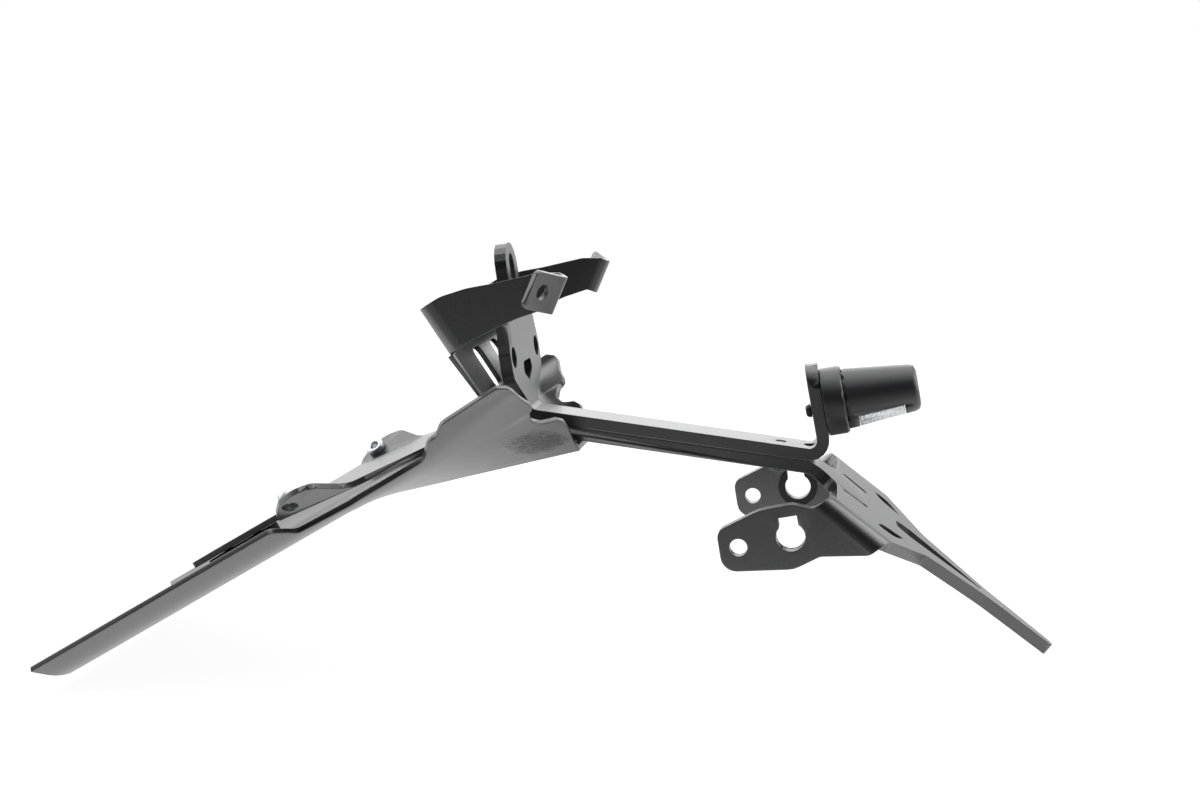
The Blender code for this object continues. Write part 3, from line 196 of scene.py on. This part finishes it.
class Finish:
    """A material and short ways to add nodes to it."""

    def __init__(self, name):
        self.material = bpy.data.materials.new(name)
        self.material.use_nodes = True
        self.tree = self.material.node_tree
        self.shader = self.tree.nodes["Principled BSDF"]
        self.output = self.tree.nodes["Material Output"]

    def node(self, kind, settings=None, sockets=None):
        """Add a node of one type, set it up, and give its sockets values or links."""
        made = self.tree.nodes.new("ShaderNode" + kind)
        for key, value in (settings or {}).items():
            setattr(made, key, value)
        for key, value in (sockets or {}).items():
            self.feed(made.inputs[key], value)
        return made

    def out(self, node, key=0):
        return Value(self.tree, node.outputs[key])

    def feed(self, socket, value):
        if isinstance(value, Value):
            self.tree.links.new(value.socket, socket)
        else:
            socket.default_value = value

    def set(self, **values):
        for key, value in values.items():
            self.feed(self.shader.inputs[key.replace("_", " ")], value)

    def place(self):
        return self.out(self.node("TexCoord"), "Object")

    def noise(self, place, scale, detail=2.0, roughness=0.5):
        made = self.node("TexNoise", sockets={"Vector": place, "Scale": scale, "Detail": detail,
                                              "Roughness": roughness})
        return self.out(made, "Fac")

    def absolute(self, value):
        return self.out(self.node("Math", {"operation": "ABSOLUTE"}, {0: value}))

    def blend(self, share, first, second):
        """Mix two colours."""
        made = self.node("Mix", {"data_type": "RGBA"})
        self.feed(made.inputs[0], share)
        self.feed(made.inputs[6], first)
        self.feed(made.inputs[7], second)
        return self.out(made, 2)

    def rounded_normal(self, radius):
        return self.out(self.node("Bevel", {"samples": 6}, {"Radius": radius}), "Normal")

    def edge_share(self, rounded):
        """0 on flat stretches, up to 1 where the rounded normal leaves the flat one."""
        flat = self.out(self.node("NewGeometry"), "True Normal")
        dot = self.node("VectorMath", {"operation": "DOT_PRODUCT"}, {0: rounded, 1: flat})
        return ((1 - self.out(dot, "Value")) * 4.0).clamped()

    def bump(self, height, distance, normal):
        made = self.node("Bump", sockets={"Strength": 1.0, "Distance": distance, "Height": height,
                                          "Normal": normal})
        return self.out(made, "Normal")


def colour(values):
    return (*values, 1.0)


class HolderCoat(bpy.types.PropertyGroup):
    """The powder coat on the folded sheets."""

    tone: FloatVectorProperty(name="Coat colour", description="Colour of the powder coat", subtype="COLOR",
                              size=3, min=0, max=1, default=(0.018, 0.0185, 0.020))
    roughness: FloatProperty(name="Coat roughness", description="Gloss of the coat, 0 glossy to 1 matt",
                             subtype="FACTOR", min=0, max=1, default=0.30)
    grain: FloatProperty(name="Grain size", description="Width of one speck of the powder coat",
                         unit="LENGTH", min=0.0001, max=0.002, default=0.00042)
    grain_depth: FloatProperty(name="Grain depth", description="Depth of the specks", unit="LENGTH",
                               min=0, max=0.0002, default=0.00004)
    edge: FloatProperty(name="Edge radius", description="How round the coated cut edges are", unit="LENGTH",
                        min=0, max=0.002, default=0.0006)
    sheet: FloatProperty(name="Undertray thickness", description="Thickness of the undertray's sheet",
                         unit="LENGTH", min=0.001, max=0.004, default=0.0025)
    crinkle: FloatProperty(name="Crinkle depth", unit="LENGTH", min=0, max=0.002, default=0.0010,
                           description="Depth of the crinkled patches on the trough's sides")


class HolderLamp(bpy.types.PropertyGroup):
    """The plate lamp."""

    shell: FloatVectorProperty(name="Housing colour", description="Colour of the lamp's moulding",
                               subtype="COLOR", size=3, min=0, max=1, default=(0.017, 0.0175, 0.020))
    shell_roughness: FloatProperty(name="Housing roughness", description="Gloss of the lamp's moulding",
                                   subtype="FACTOR", min=0, max=1, default=0.40)
    ribs: FloatProperty(name="Lens rib spacing", description="Distance between the ribs on the lens",
                        unit="LENGTH", min=0.0005, max=0.005, default=0.0016)


class HolderStudio(bpy.types.PropertyGroup):
    """Camera and light."""

    lens: FloatProperty(name="Lens", description="Focal length of the camera", unit="CAMERA", min=10,
                        max=200, default=48.0)
    sky: FloatProperty(name="Surround", description="Light from behind and from above", min=0, max=4,
                       default=1.0)
    front: FloatProperty(name="Front side", description="Light from the side where the camera stands",
                         min=0, max=4, default=0.015)
    top: FloatProperty(name="Top light", description="Strength of the large lamp above", unit="POWER",
                       min=0, max=200, default=6.0)
    rear: FloatProperty(name="Rear light", description="Strength of the lamp behind", unit="POWER",
                        min=0, max=200, default=8.0)
    right: FloatProperty(name="Right light", description="Strength of the lamp at the right", unit="POWER",
                         min=0, max=200, default=8.0)
    left: FloatProperty(name="Left light", description="Strength of the lamp at the left", unit="POWER",
                        min=0, max=200, default=5.0)
    rim: FloatProperty(name="Rim light", description="Strength of the strip lamp above the near side",
                       unit="POWER", min=0, max=50, default=0.7)
    table: FloatProperty(name="Table light", description="Strength of the light table", unit="POWER",
                         min=0, max=20, default=0.07)
    table_edge: FloatProperty(name="Table edge", unit="POWER", min=0, max=20, default=0.04,
                              description="Strength of the bright strip at the table's front")


def coat_finish(name, crinkled=False):
    """Black powder coat: fine grain, soft waviness, and cut edges lightened partly for the thinner coat there
    and partly as a painted sheen.
    """
    coat = bpy.context.scene.holder_coat
    finish = Finish(name)
    place = finish.place()
    rounded = finish.rounded_normal(coat.edge)
    edge = finish.edge_share(rounded)
    speck = finish.noise(place, 1.0 / coat.grain, 3.0, 0.6)
    wave = finish.noise(place, 140.0, 2.0)
    cloud = finish.noise(place, 22.0, 3.0)
    # Painted edge sheen: cut edges are lightened toward this pale colour, partly for the thinner coat there
    # and partly as a painted highlight where the rounded edges catch light.
    thin_coat_sheen = colour([min(1.0, channel * 1.9 + 0.008) for channel in coat.tone])
    darker, lighter = (colour([channel * level for channel in coat.tone]) for level in (0.86, 1.12))
    body = finish.blend((cloud * 0.5 + speck * 0.5).clamped(), darker, lighter)
    finish.set(Base_Color=finish.blend(edge * 0.55, body, thin_coat_sheen))
    rough = coat.roughness + (speck - 0.5) * 0.16 + (cloud - 0.5) * 0.08 + edge * 0.06
    finish.set(Roughness=rough.clamped())
    height = speck * 1.0 + wave * 0.6
    if crinkled:
        height = height + crinkle_height(finish, place) * (coat.crinkle / coat.grain_depth)
    finish.set(Normal=finish.bump(height, coat.grain_depth, rounded))
    finish.shader.inputs["Specular IOR Level"].default_value = 1.0
    finish.shader.inputs["IOR"].default_value = 1.62
    return finish.material


def crinkle_height(finish, place):
    """Short wavy creases in the coat, in a patch with ragged edges on each of the trough's sides."""
    parts = finish.node("SeparateXYZ", sockets={0: place})
    x, y, z = (finish.out(parts, axis) for axis in "XYZ")
    along, up = x - CRINKLE_CENTRE[0], z - CRINKLE_CENTRE[1]
    far = along * along * CRINKLE_FADE[0] + up * up * CRINKLE_FADE[1]
    ragged = (finish.noise(place, 320.0, 2.0) - 0.5) * 1.6
    sides = ((finish.absolute(y) - CRINKLE_INNER) * 400.0).clamped()
    patch = (1 - far * 0.8 + ragged).clamped() * (1.25 - far).clamped() * sides
    stretched = finish.node("Mapping", sockets={"Vector": place, "Scale": CRINKLE_STRETCH})
    creases = finish.node("TexNoise", sockets={"Vector": finish.out(stretched), "Scale": 1.0,
                                               "Detail": 3.0, "Distortion": 1.6})
    swing = finish.absolute(finish.out(creases, "Fac") * 2 - 1)
    return (1 - swing * 2.2).clamped() * patch


def rubber_finish(name):
    """Matt black rubber with fine pores and patches of dust."""
    finish = Finish(name)
    place = finish.place()
    rounded = finish.rounded_normal(0.0004)
    pores = finish.noise(place, 3200.0, 3.0, 0.7)
    dust = finish.noise(place, 260.0, 4.0)
    finish.set(Base_Color=finish.blend((dust * dust).clamped(), colour(RUBBER_BLACK),
                                       colour(RUBBER_DUST)))
    finish.set(Roughness=0.66 + pores * 0.2, Normal=finish.bump(pores, 0.00003, rounded))
    return finish.material


def zinc_finish(name):
    """Zinc plate: pale bluish steel with turning marks and small dull spots."""
    finish = Finish(name)
    place = finish.place()
    rounded = finish.rounded_normal(0.0002)
    marks = finish.noise(place, 5200.0, 2.0, 0.6)
    spots = finish.noise(place, 620.0, 3.0)
    finish.set(Base_Color=finish.blend(spots, colour(ZINC_DULL), colour(ZINC_BRIGHT)))
    finish.set(Metallic=1.0, Roughness=(0.24 + spots * 0.16 + marks * 0.06).clamped(),
               Normal=finish.bump(marks, 0.00001, rounded))
    return finish.material


def black_steel_finish(name):
    """Blackened steel screws, worn to bare metal on their edges."""
    finish = Finish(name)
    place = finish.place()
    rounded = finish.rounded_normal(0.00025)
    edge = finish.edge_share(rounded)
    speck = finish.noise(place, 3800.0, 3.0, 0.7)
    worn = (edge * (speck * 1.3)).clamped()
    finish.set(Base_Color=finish.blend(worn, colour(STEEL_BLACK), colour(STEEL_BARE)))
    finish.set(Metallic=0.6 + worn * 0.4, Roughness=(0.42 - worn * 0.12 + speck * 0.08).clamped(),
               Normal=finish.bump(speck, 0.00001, rounded))
    return finish.material


def alloy_finish(name):
    """Sawn aluminium, with fine saw marks across it."""
    finish = Finish(name)
    place = finish.place()
    stretched = finish.node("Mapping", sockets={"Vector": place, "Scale": (2600.0, 160.0, 160.0)})
    marks = finish.out(finish.node("TexNoise", sockets={"Vector": finish.out(stretched), "Scale": 1.0,
                                                        "Detail": 2.0}), "Fac")
    finish.set(Base_Color=finish.blend(marks, colour(ALLOY_MARK), colour(ALLOY_BRIGHT)))
    finish.set(Metallic=1.0, Roughness=0.30 + marks * 0.16,
               Normal=finish.bump(marks, 0.00002, finish.rounded_normal(0.0003)))
    return finish.material


def shell_finish(name):
    """Moulded lamp housing: smooth satin plastic with a faint moulding grain."""
    lamp = bpy.context.scene.holder_lamp
    finish = Finish(name)
    place = finish.place()
    rounded = finish.rounded_normal(0.0005)
    grain = finish.noise(place, 2400.0, 2.0)
    flow = finish.noise(place, 60.0, 2.0)
    finish.set(Base_Color=finish.blend(flow, colour([c * 0.85 for c in lamp.shell]),
                                       colour([c * 1.2 for c in lamp.shell])))
    finish.set(Roughness=(lamp.shell_roughness + (grain - 0.5) * 0.10 + (flow - 0.5) * 0.06).clamped(),
               Normal=finish.bump(grain, 0.000015, rounded))
    finish.shader.inputs["Specular IOR Level"].default_value = 0.9
    return finish.material


def lens_finish(name):
    """Lens with fine ribs across it and slight haze."""
    lamp = bpy.context.scene.holder_lamp
    finish = Finish(name)
    place = finish.place()
    parts = finish.node("SeparateXYZ", sockets={0: place})
    along = finish.out(parts, "X") * (math.tau / lamp.ribs)
    ribs = finish.out(finish.node("Math", {"operation": "SINE"}, {0: along}))
    haze = finish.noise(place, 900.0, 2.0)
    finish.set(Base_Color=finish.blend(haze, colour(LENS_HAZY), colour(LENS_CLEAR)))
    finish.set(Roughness=0.10 + haze * 0.05, Normal=finish.bump(ribs, 0.00004, finish.rounded_normal(0.0002)))
    finish.shader.inputs["Transmission Weight"].default_value = 0.60
    finish.shader.inputs["IOR"].default_value = 1.49
    return finish.material


def board_finish(name):
    """White-lacquered circuit board with faint copper tracks under the lacquer."""
    finish = Finish(name)
    place = finish.place()
    tracks = finish.out(finish.node("TexBrick", {"offset": 0.5}, {
        "Vector": place, "Scale": 420.0, "Mortar Size": 0.08, "Color1": colour(BOARD_LIGHT),
        "Color2": colour(BOARD_SHADE), "Mortar": colour(BOARD_TRACK)}), "Color")
    dust = finish.noise(place, 1500.0, 2.0)
    finish.set(Base_Color=finish.blend(dust * 0.2, tracks, colour(BOARD_DUST)),
               Roughness=0.4 + dust * 0.2)
    return finish.material


def diode_finish(name):
    """Small white diodes: a yellow phosphor patch in a clear case."""
    finish = Finish(name)
    place = finish.place()
    glow = finish.noise(place, 1600.0, 1.0)
    finish.set(Base_Color=finish.blend(glow, colour(DIODE_DEEP), colour(DIODE_PALE)),
               Roughness=0.22 + glow * 0.1)
    return finish.material


def deselect():
    if bpy.context.mode != "OBJECT":
        bpy.ops.object.mode_set(mode="OBJECT")
    bpy.ops.object.select_all(action="DESELECT")


def use_finish(piece, material):
    piece.data.materials.clear()
    piece.data.materials.append(material)


def merged_copy(node, name):
    """A copy of a solid with its triangles joined to one surface."""
    deselect()
    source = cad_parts[node]
    piece = source.copy()
    piece.data = source.data.copy()
    piece.name = name
    piece.data.name = name
    bpy.context.collection.objects.link(piece)
    piece.parent = None
    piece.matrix_world = Matrix.Identity(4)
    piece.hide_render = False
    piece.hide_viewport = False
    piece.select_set(True)
    bpy.context.view_layer.objects.active = piece
    bpy.ops.object.mode_set(mode="EDIT")
    bpy.ops.mesh.select_all(action="SELECT")
    bpy.ops.mesh.remove_doubles(threshold=MERGE_DISTANCE)
    bpy.ops.object.mode_set(mode="OBJECT")
    return piece


def shaded(piece, node, material, angle=SMOOTH_ANGLE):
    """Shade folds and round faces smooth, give the finish, and let the piece stand for its solid."""
    bpy.ops.object.shade_smooth_by_angle(angle=angle)
    weights = piece.modifiers.new("Weighted normals", "WEIGHTED_NORMAL")
    weights.keep_sharp = True
    weights.weight = WEIGHTED_NORMAL_SHARE
    bpy.ops.object.modifier_apply(modifier=weights.name)
    use_finish(piece, material)
    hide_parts(node)
    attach(piece, "root")
    deselect()
    return piece


def smoothed_copy(node, name, material):
    return shaded(merged_copy(node, name), node, material)


def eased_height(knots, at, reach):
    """Height at one place of a line through the knots, with the line's corners rounded."""
    total = 0.0
    for step in range(-EASE_STEPS, EASE_STEPS + 1):
        spot = min(max(at + reach * step / EASE_STEPS, knots[0][0]), knots[-1][0])
        left, right = next(pair for pair in zip(knots, knots[1:]) if spot <= pair[1][0])
        total += left[1] + (right[1] - left[1]) * (spot - left[0]) / (right[0] - left[0])
    return total / (2 * EASE_STEPS + 1)


def crease_spot(x):
    """A point of the line where the undertray's flank meets its floor or the trough's side."""
    slope = TRAY_FLOOR_SLOPE if x < TRAY_FLOOR_END else TRAY_REAR_SLOPE
    share = (x - TRAY_FRONT) / (TRAY_REAR - TRAY_FRONT)
    half = TRAY_FRONT_HALF + (TRAY_REAR_HALF - TRAY_FRONT_HALF) * share
    return Vector((x, half, TRAY_FLOOR_HEIGHT + (x - TRAY_FLOOR_END) * math.tan(slope)))


def middle_spot(x):
    """The point of the trough's bottom that belongs to one place along the crease."""
    if x < TROUGH_START:
        return Vector((x, TROUGH_HALF, crease_spot(x).z))
    along = (x - TROUGH_START) / (TRAY_REAR - TROUGH_START) * (TROUGH_END - TROUGH_START)
    return Vector((TROUGH_START + along, TROUGH_HALF,
                   crease_spot(TROUGH_START).z + along * math.tan(TROUGH_SLOPE)))


def tray_spot(x, share):
    """A point of the undertray's outer side: share 0 at the flank's top, 1 at the crease, 2 at the middle."""
    near_rear = max(0.0, (x - EDGE_START) / (TRAY_REAR - EDGE_START))
    x = min(x, x + (eased_height(REAR_EDGE, share, REAR_EDGE_EASE) - TRAY_REAR) * near_rear)
    corner, middle = crease_spot(x), middle_spot(x)
    lead = FLANK_LEAD * max(0.0, 1.0 - (x - TRAY_FRONT) / FLANK_LEAD_REACH)
    if share < 1.0:
        share = 1.0 - (1.0 - share) * eased_height(FLANK_EDGE, x, FLANK_EDGE_EASE)
    flank = Vector((-lead, FLANK_OUT, FLANK_UP - lead * math.tan(TRAY_FLOOR_SLOPE)))
    side = middle - corner
    into_flank, into_side = CREASE_BEND / flank.length, CREASE_BEND / side.length
    if share < 1.0 - into_flank:
        spot = corner + flank * (1.0 - share)
    elif share > 1.0 + into_side:
        across = share - 1.0
        near_end = max(0.0, 1.0 - (TRAY_REAR - x) / SHOULDER_LENGTH) ** 2
        spot = corner + side * across + SHOULDER_LIFT * near_end * math.sin(math.pi * across) ** 2
    else:
        part = (share - 1.0 + into_flank) / (into_flank + into_side)
        first, last = corner + flank * into_flank, corner + side * into_side
        spot = first.lerp(corner, part).lerp(corner.lerp(last, part), part)
    along = max(0.0, (x - RIDGE_START) / (TRAY_REAR - RIDGE_START))
    ridge = 1.0 + (RIDGE_END - 1.0) * min(1.0, along)
    fall = (ridge - share) / ridge if share < ridge else (share - ridge) / RIDGE_FOOT
    ease = math.hypot(fall, RIDGE_TIP) - RIDGE_TIP
    spot += RIDGE_LIFT * along ** 0.5 * max(0.0, 1.0 - ease / RIDGE_FADE)
    return spot + TRAY_SHIFT


def folded_tray(name, material, thickness):
    """The undertray as one sheet: a grid laid over its outer side, thickened square to its faces."""
    deselect()
    half = [part / FLANK_ROWS for part in range(FLANK_ROWS + 1)] + list(SIDE_SHARES)
    rows = [(share, 1.0) for share in half] + [(share, -1.0) for share in reversed(half)]
    stations = [start + gap * step for start, gap, count in TRAY_STATIONS for step in range(count)]
    bpy.ops.mesh.primitive_grid_add(x_subdivisions=len(stations) - 1, y_subdivisions=len(rows) - 1,
                                    size=2.0)
    piece = bpy.context.active_object
    piece.name = name
    piece.data.name = name
    for vertex in piece.data.vertices:
        station = stations[round((vertex.co.x + 1) / 2 * (len(stations) - 1))]
        share, side = rows[round((vertex.co.y + 1) / 2 * (len(rows) - 1))]
        spot = tray_spot(station, share)
        vertex.co = Vector((spot.x, spot.y * side, spot.z))
    piece.data.update()
    if sum(face.normal.z for face in piece.data.polygons) > 0:
        bpy.ops.object.mode_set(mode="EDIT")
        bpy.ops.mesh.select_all(action="SELECT")
        bpy.ops.mesh.flip_normals()
        bpy.ops.object.mode_set(mode="OBJECT")
    wall = piece.modifiers.new("Sheet", "SOLIDIFY")
    wall.thickness = thickness
    wall.offset = -1.0
    wall.use_even_offset = True
    bpy.ops.object.modifier_apply(modifier=wall.name)
    rim = piece.modifiers.new("Rim", "BEVEL")
    rim.width = bpy.context.scene.holder_coat.edge * RIM_SHARE
    rim.segments = 2
    rim.limit_method = "ANGLE"
    rim.angle_limit = RIM_ANGLE
    bpy.ops.object.modifier_apply(modifier=rim.name)
    return shaded(piece, "undertray", material)


class HOLDER_OT_sheets(bpy.types.Operator):
    """Powder-coat the undertray, both arm plates and both brackets"""
    bl_idname = "holder.sheets"
    bl_label = "Folded sheets"
    bl_options = {"REGISTER", "UNDO"}

    def execute(self, context):
        plain = coat_finish("powder coat")
        crinkled = coat_finish("powder coat crinkled", crinkled=True)
        for node in SHEETS:
            smoothed_copy(node, "coated_" + node, plain)
        folded_tray("coated_undertray", crinkled, context.scene.holder_coat.sheet)
        return {"FINISHED"}


class HOLDER_OT_fasteners(bpy.types.Operator):
    """Finish the nuts, screws, washers, wedge and block"""
    bl_idname = "holder.fasteners"
    bl_label = "Nuts, screws and spacers"
    bl_options = {"REGISTER", "UNDO"}

    def execute(self, context):
        zinc = zinc_finish("zinc plate")
        black = black_steel_finish("blackened steel")
        rubber = rubber_finish("block rubber")
        for node in CLINCH_NUTS:
            smoothed_copy(node, "plated_" + node, zinc)
        for node in BLACK_SCREWS:
            smoothed_copy(node, "black_" + node, black)
        for node in RUBBER:
            smoothed_copy(node, "rubber_" + node, rubber)
        smoothed_copy("arm_wedge", "alloy_wedge", alloy_finish("sawn aluminium"))
        return {"FINISHED"}


class HOLDER_OT_lamp(bpy.types.Operator):
    """Finish the lamp: gasket, housing, lens, board and diodes"""
    bl_idname = "holder.lamp"
    bl_label = "Plate lamp"
    bl_options = {"REGISTER", "UNDO"}

    def execute(self, context):
        ring = merged_copy("lamp_gasket", "lamp_ring")
        bpy.ops.object.mode_set(mode="EDIT")
        bpy.ops.mesh.select_mode(type="FACE")
        bpy.ops.mesh.select_all(action="DESELECT")
        work = bmesh.from_edit_mesh(ring.data)
        for face in work.faces:
            face.select_set(face.normal.dot(LAMP_AXIS) > 0.9)
        bmesh.update_edit_mesh(ring.data)
        bpy.ops.transform.translate(value=LAMP_AXIS * RING_SEAM)
        bpy.ops.object.mode_set(mode="OBJECT")
        shaded(ring, "lamp_gasket", shell_finish("ring moulding"), LAMP_SMOOTH_ANGLE)
        shaded(merged_copy("lamp_housing", "lamp_shell"), "lamp_housing",
               shell_finish("housing moulding"), LAMP_SMOOTH_ANGLE)
        smoothed_copy("lamp_lens", "lamp_clear_lens", lens_finish("clear lens"))
        use_finish(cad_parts["lamp_board"], board_finish("circuit board"))
        diode = diode_finish("diode")
        for node in DIODES:
            use_finish(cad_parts[node], diode)
        return {"FINISHED"}


class HOLDER_OT_stage(bpy.types.Operator):
    """Set up the pale floor, the lights and the camera"""
    bl_idname = "holder.stage"
    bl_label = "Studio"
    bl_options = {"REGISTER", "UNDO"}

    def execute(self, context):
        studio = context.scene.holder_studio
        deselect()
        bpy.ops.mesh.primitive_plane_add(size=FLOOR_SIZE, location=(0.0, 0.0, 0.0))
        floor = context.active_object
        floor.name = "studio_floor"
        use_finish(floor, floor_finish())
        light_world(studio.sky, studio.front)
        for name, spot, aim, size in LAMPS:
            add_lamp(name + "_light", spot, aim, size, getattr(studio, name))
        add_camera(studio.lens)
        context.scene.view_settings.view_transform = "Standard"
        return {"FINISHED"}


def floor_finish():
    """White light table that keeps a soft shadow; reflections see a darker floor in front of it."""
    finish = Finish("studio floor")
    ray = finish.node("LightPath")
    parts = finish.node("SeparateXYZ", sockets={0: finish.place()})
    table = ((finish.out(parts, "Y") - TABLE_FRONT) * TABLE_FADE).clamped()
    seen = (finish.out(ray, "Is Camera Ray") + finish.out(ray, "Is Transmission Ray")).clamped()
    seen = (seen + finish.out(ray, "Is Glossy Ray") * (0.05 + table * 0.95)).clamped()
    glow = finish.node("Emission", sockets={"Color": colour((1.0, 1.0, 1.0)), "Strength": TABLE_GLOW})
    finish.set(Base_Color=finish.blend(table, colour(FLOOR_FRONT), colour(FLOOR_WHITE)))
    finish.shader.inputs["Roughness"].default_value = 0.9
    finish.shader.inputs["Specular IOR Level"].default_value = 0.0
    joined = finish.node("MixShader", sockets={0: seen * (GLOW_SHARE + (1 - table) * 0.06)})
    finish.tree.links.new(finish.shader.outputs[0], joined.inputs[1])
    finish.tree.links.new(glow.outputs[0], joined.inputs[2])
    finish.tree.links.new(joined.outputs[0], finish.output.inputs["Surface"])
    return finish.material


def light_world(sky, front):
    """White where it is seen; lights the holder from behind and above more than from the front."""
    world = bpy.data.worlds.new("studio surround")
    bpy.context.scene.world = world
    world.use_nodes = True
    tree = world.node_tree
    background = tree.nodes["Background"]
    ray = tree.nodes.new("ShaderNodeLightPath")
    camera, passing = (Value(tree, ray.outputs[key]) for key in ("Is Camera Ray", "Is Transmission Ray"))
    seen = (camera + passing).clamped()
    heading = tree.nodes.new("ShaderNodeTexCoord")
    parts = tree.nodes.new("ShaderNodeSeparateXYZ")
    tree.links.new(heading.outputs["Generated"], parts.inputs[0])
    behind = (Value(tree, parts.outputs["Y"]) * 1.5 + 0.80).clamped()
    light = front + behind * (sky - front)
    level = light + seen * (1.0 - light)
    tree.links.new(level.socket, background.inputs["Strength"])
    background.inputs["Color"].default_value = colour((1.0, 1.0, 1.0))


def add_lamp(name, place, aim, size, power):
    """A large soft lamp that faces a point and isn't seen itself."""
    bpy.ops.object.light_add(type="AREA", location=place)
    lamp = bpy.context.active_object
    lamp.name = name
    lamp.data.shape = "RECTANGLE"
    lamp.data.size, lamp.data.size_y = size
    lamp.visible_camera = False
    lamp.data.energy = power
    lamp.rotation_euler = (Vector(aim) - Vector(place)).to_track_quat("-Z", "Y").to_euler()


def add_camera(lens):
    """The camera, at the left of the holder and a little above it."""
    bpy.ops.object.camera_add(location=CAMERA_PLACE,
                              rotation=[math.radians(angle) for angle in CAMERA_TURN])
    camera = bpy.context.active_object
    camera.name = "studio_camera"
    camera.data.sensor_width = SENSOR_WIDTH
    camera.data.lens = lens
    camera.data.clip_start = 0.01
    camera.data.clip_end = 30.0
    bpy.context.scene.camera = camera


class HOLDER_PT_panel(bpy.types.Panel):
    """Sizes, colours and steps of the holder"""
    bl_idname = "HOLDER_PT_panel"
    bl_label = "Number plate holder"
    bl_space_type = "VIEW_3D"
    bl_region_type = "UI"
    bl_category = "Holder"

    def draw(self, context):
        layout = self.layout
        for group in (context.scene.holder_coat, context.scene.holder_lamp, context.scene.holder_studio):
            column = layout.column(align=True)
            for key in type(group).__annotations__:
                column.prop(group, key)
        for operator in STEPS:
            layout.operator(operator.bl_idname)


GROUPS = (HolderCoat, HolderLamp, HolderStudio)
STEPS = (HOLDER_OT_sheets, HOLDER_OT_fasteners, HOLDER_OT_lamp, HOLDER_OT_stage)


def register():
    for item in GROUPS + STEPS + (HOLDER_PT_panel,):
        bpy.utils.register_class(item)
    bpy.types.Scene.holder_coat = PointerProperty(type=HolderCoat)
    bpy.types.Scene.holder_lamp = PointerProperty(type=HolderLamp)
    bpy.types.Scene.holder_studio = PointerProperty(type=HolderStudio)


def unregister():
    del bpy.types.Scene.holder_studio
    del bpy.types.Scene.holder_lamp
    del bpy.types.Scene.holder_coat
    for item in reversed(GROUPS + STEPS + (HOLDER_PT_panel,)):
        bpy.utils.unregister_class(item)


def main():
    register()
    bpy.ops.holder.stage()
    bpy.ops.holder.sheets()
    bpy.ops.holder.fasteners()
    bpy.ops.holder.lamp()


if __name__ == "__main__":
    main()
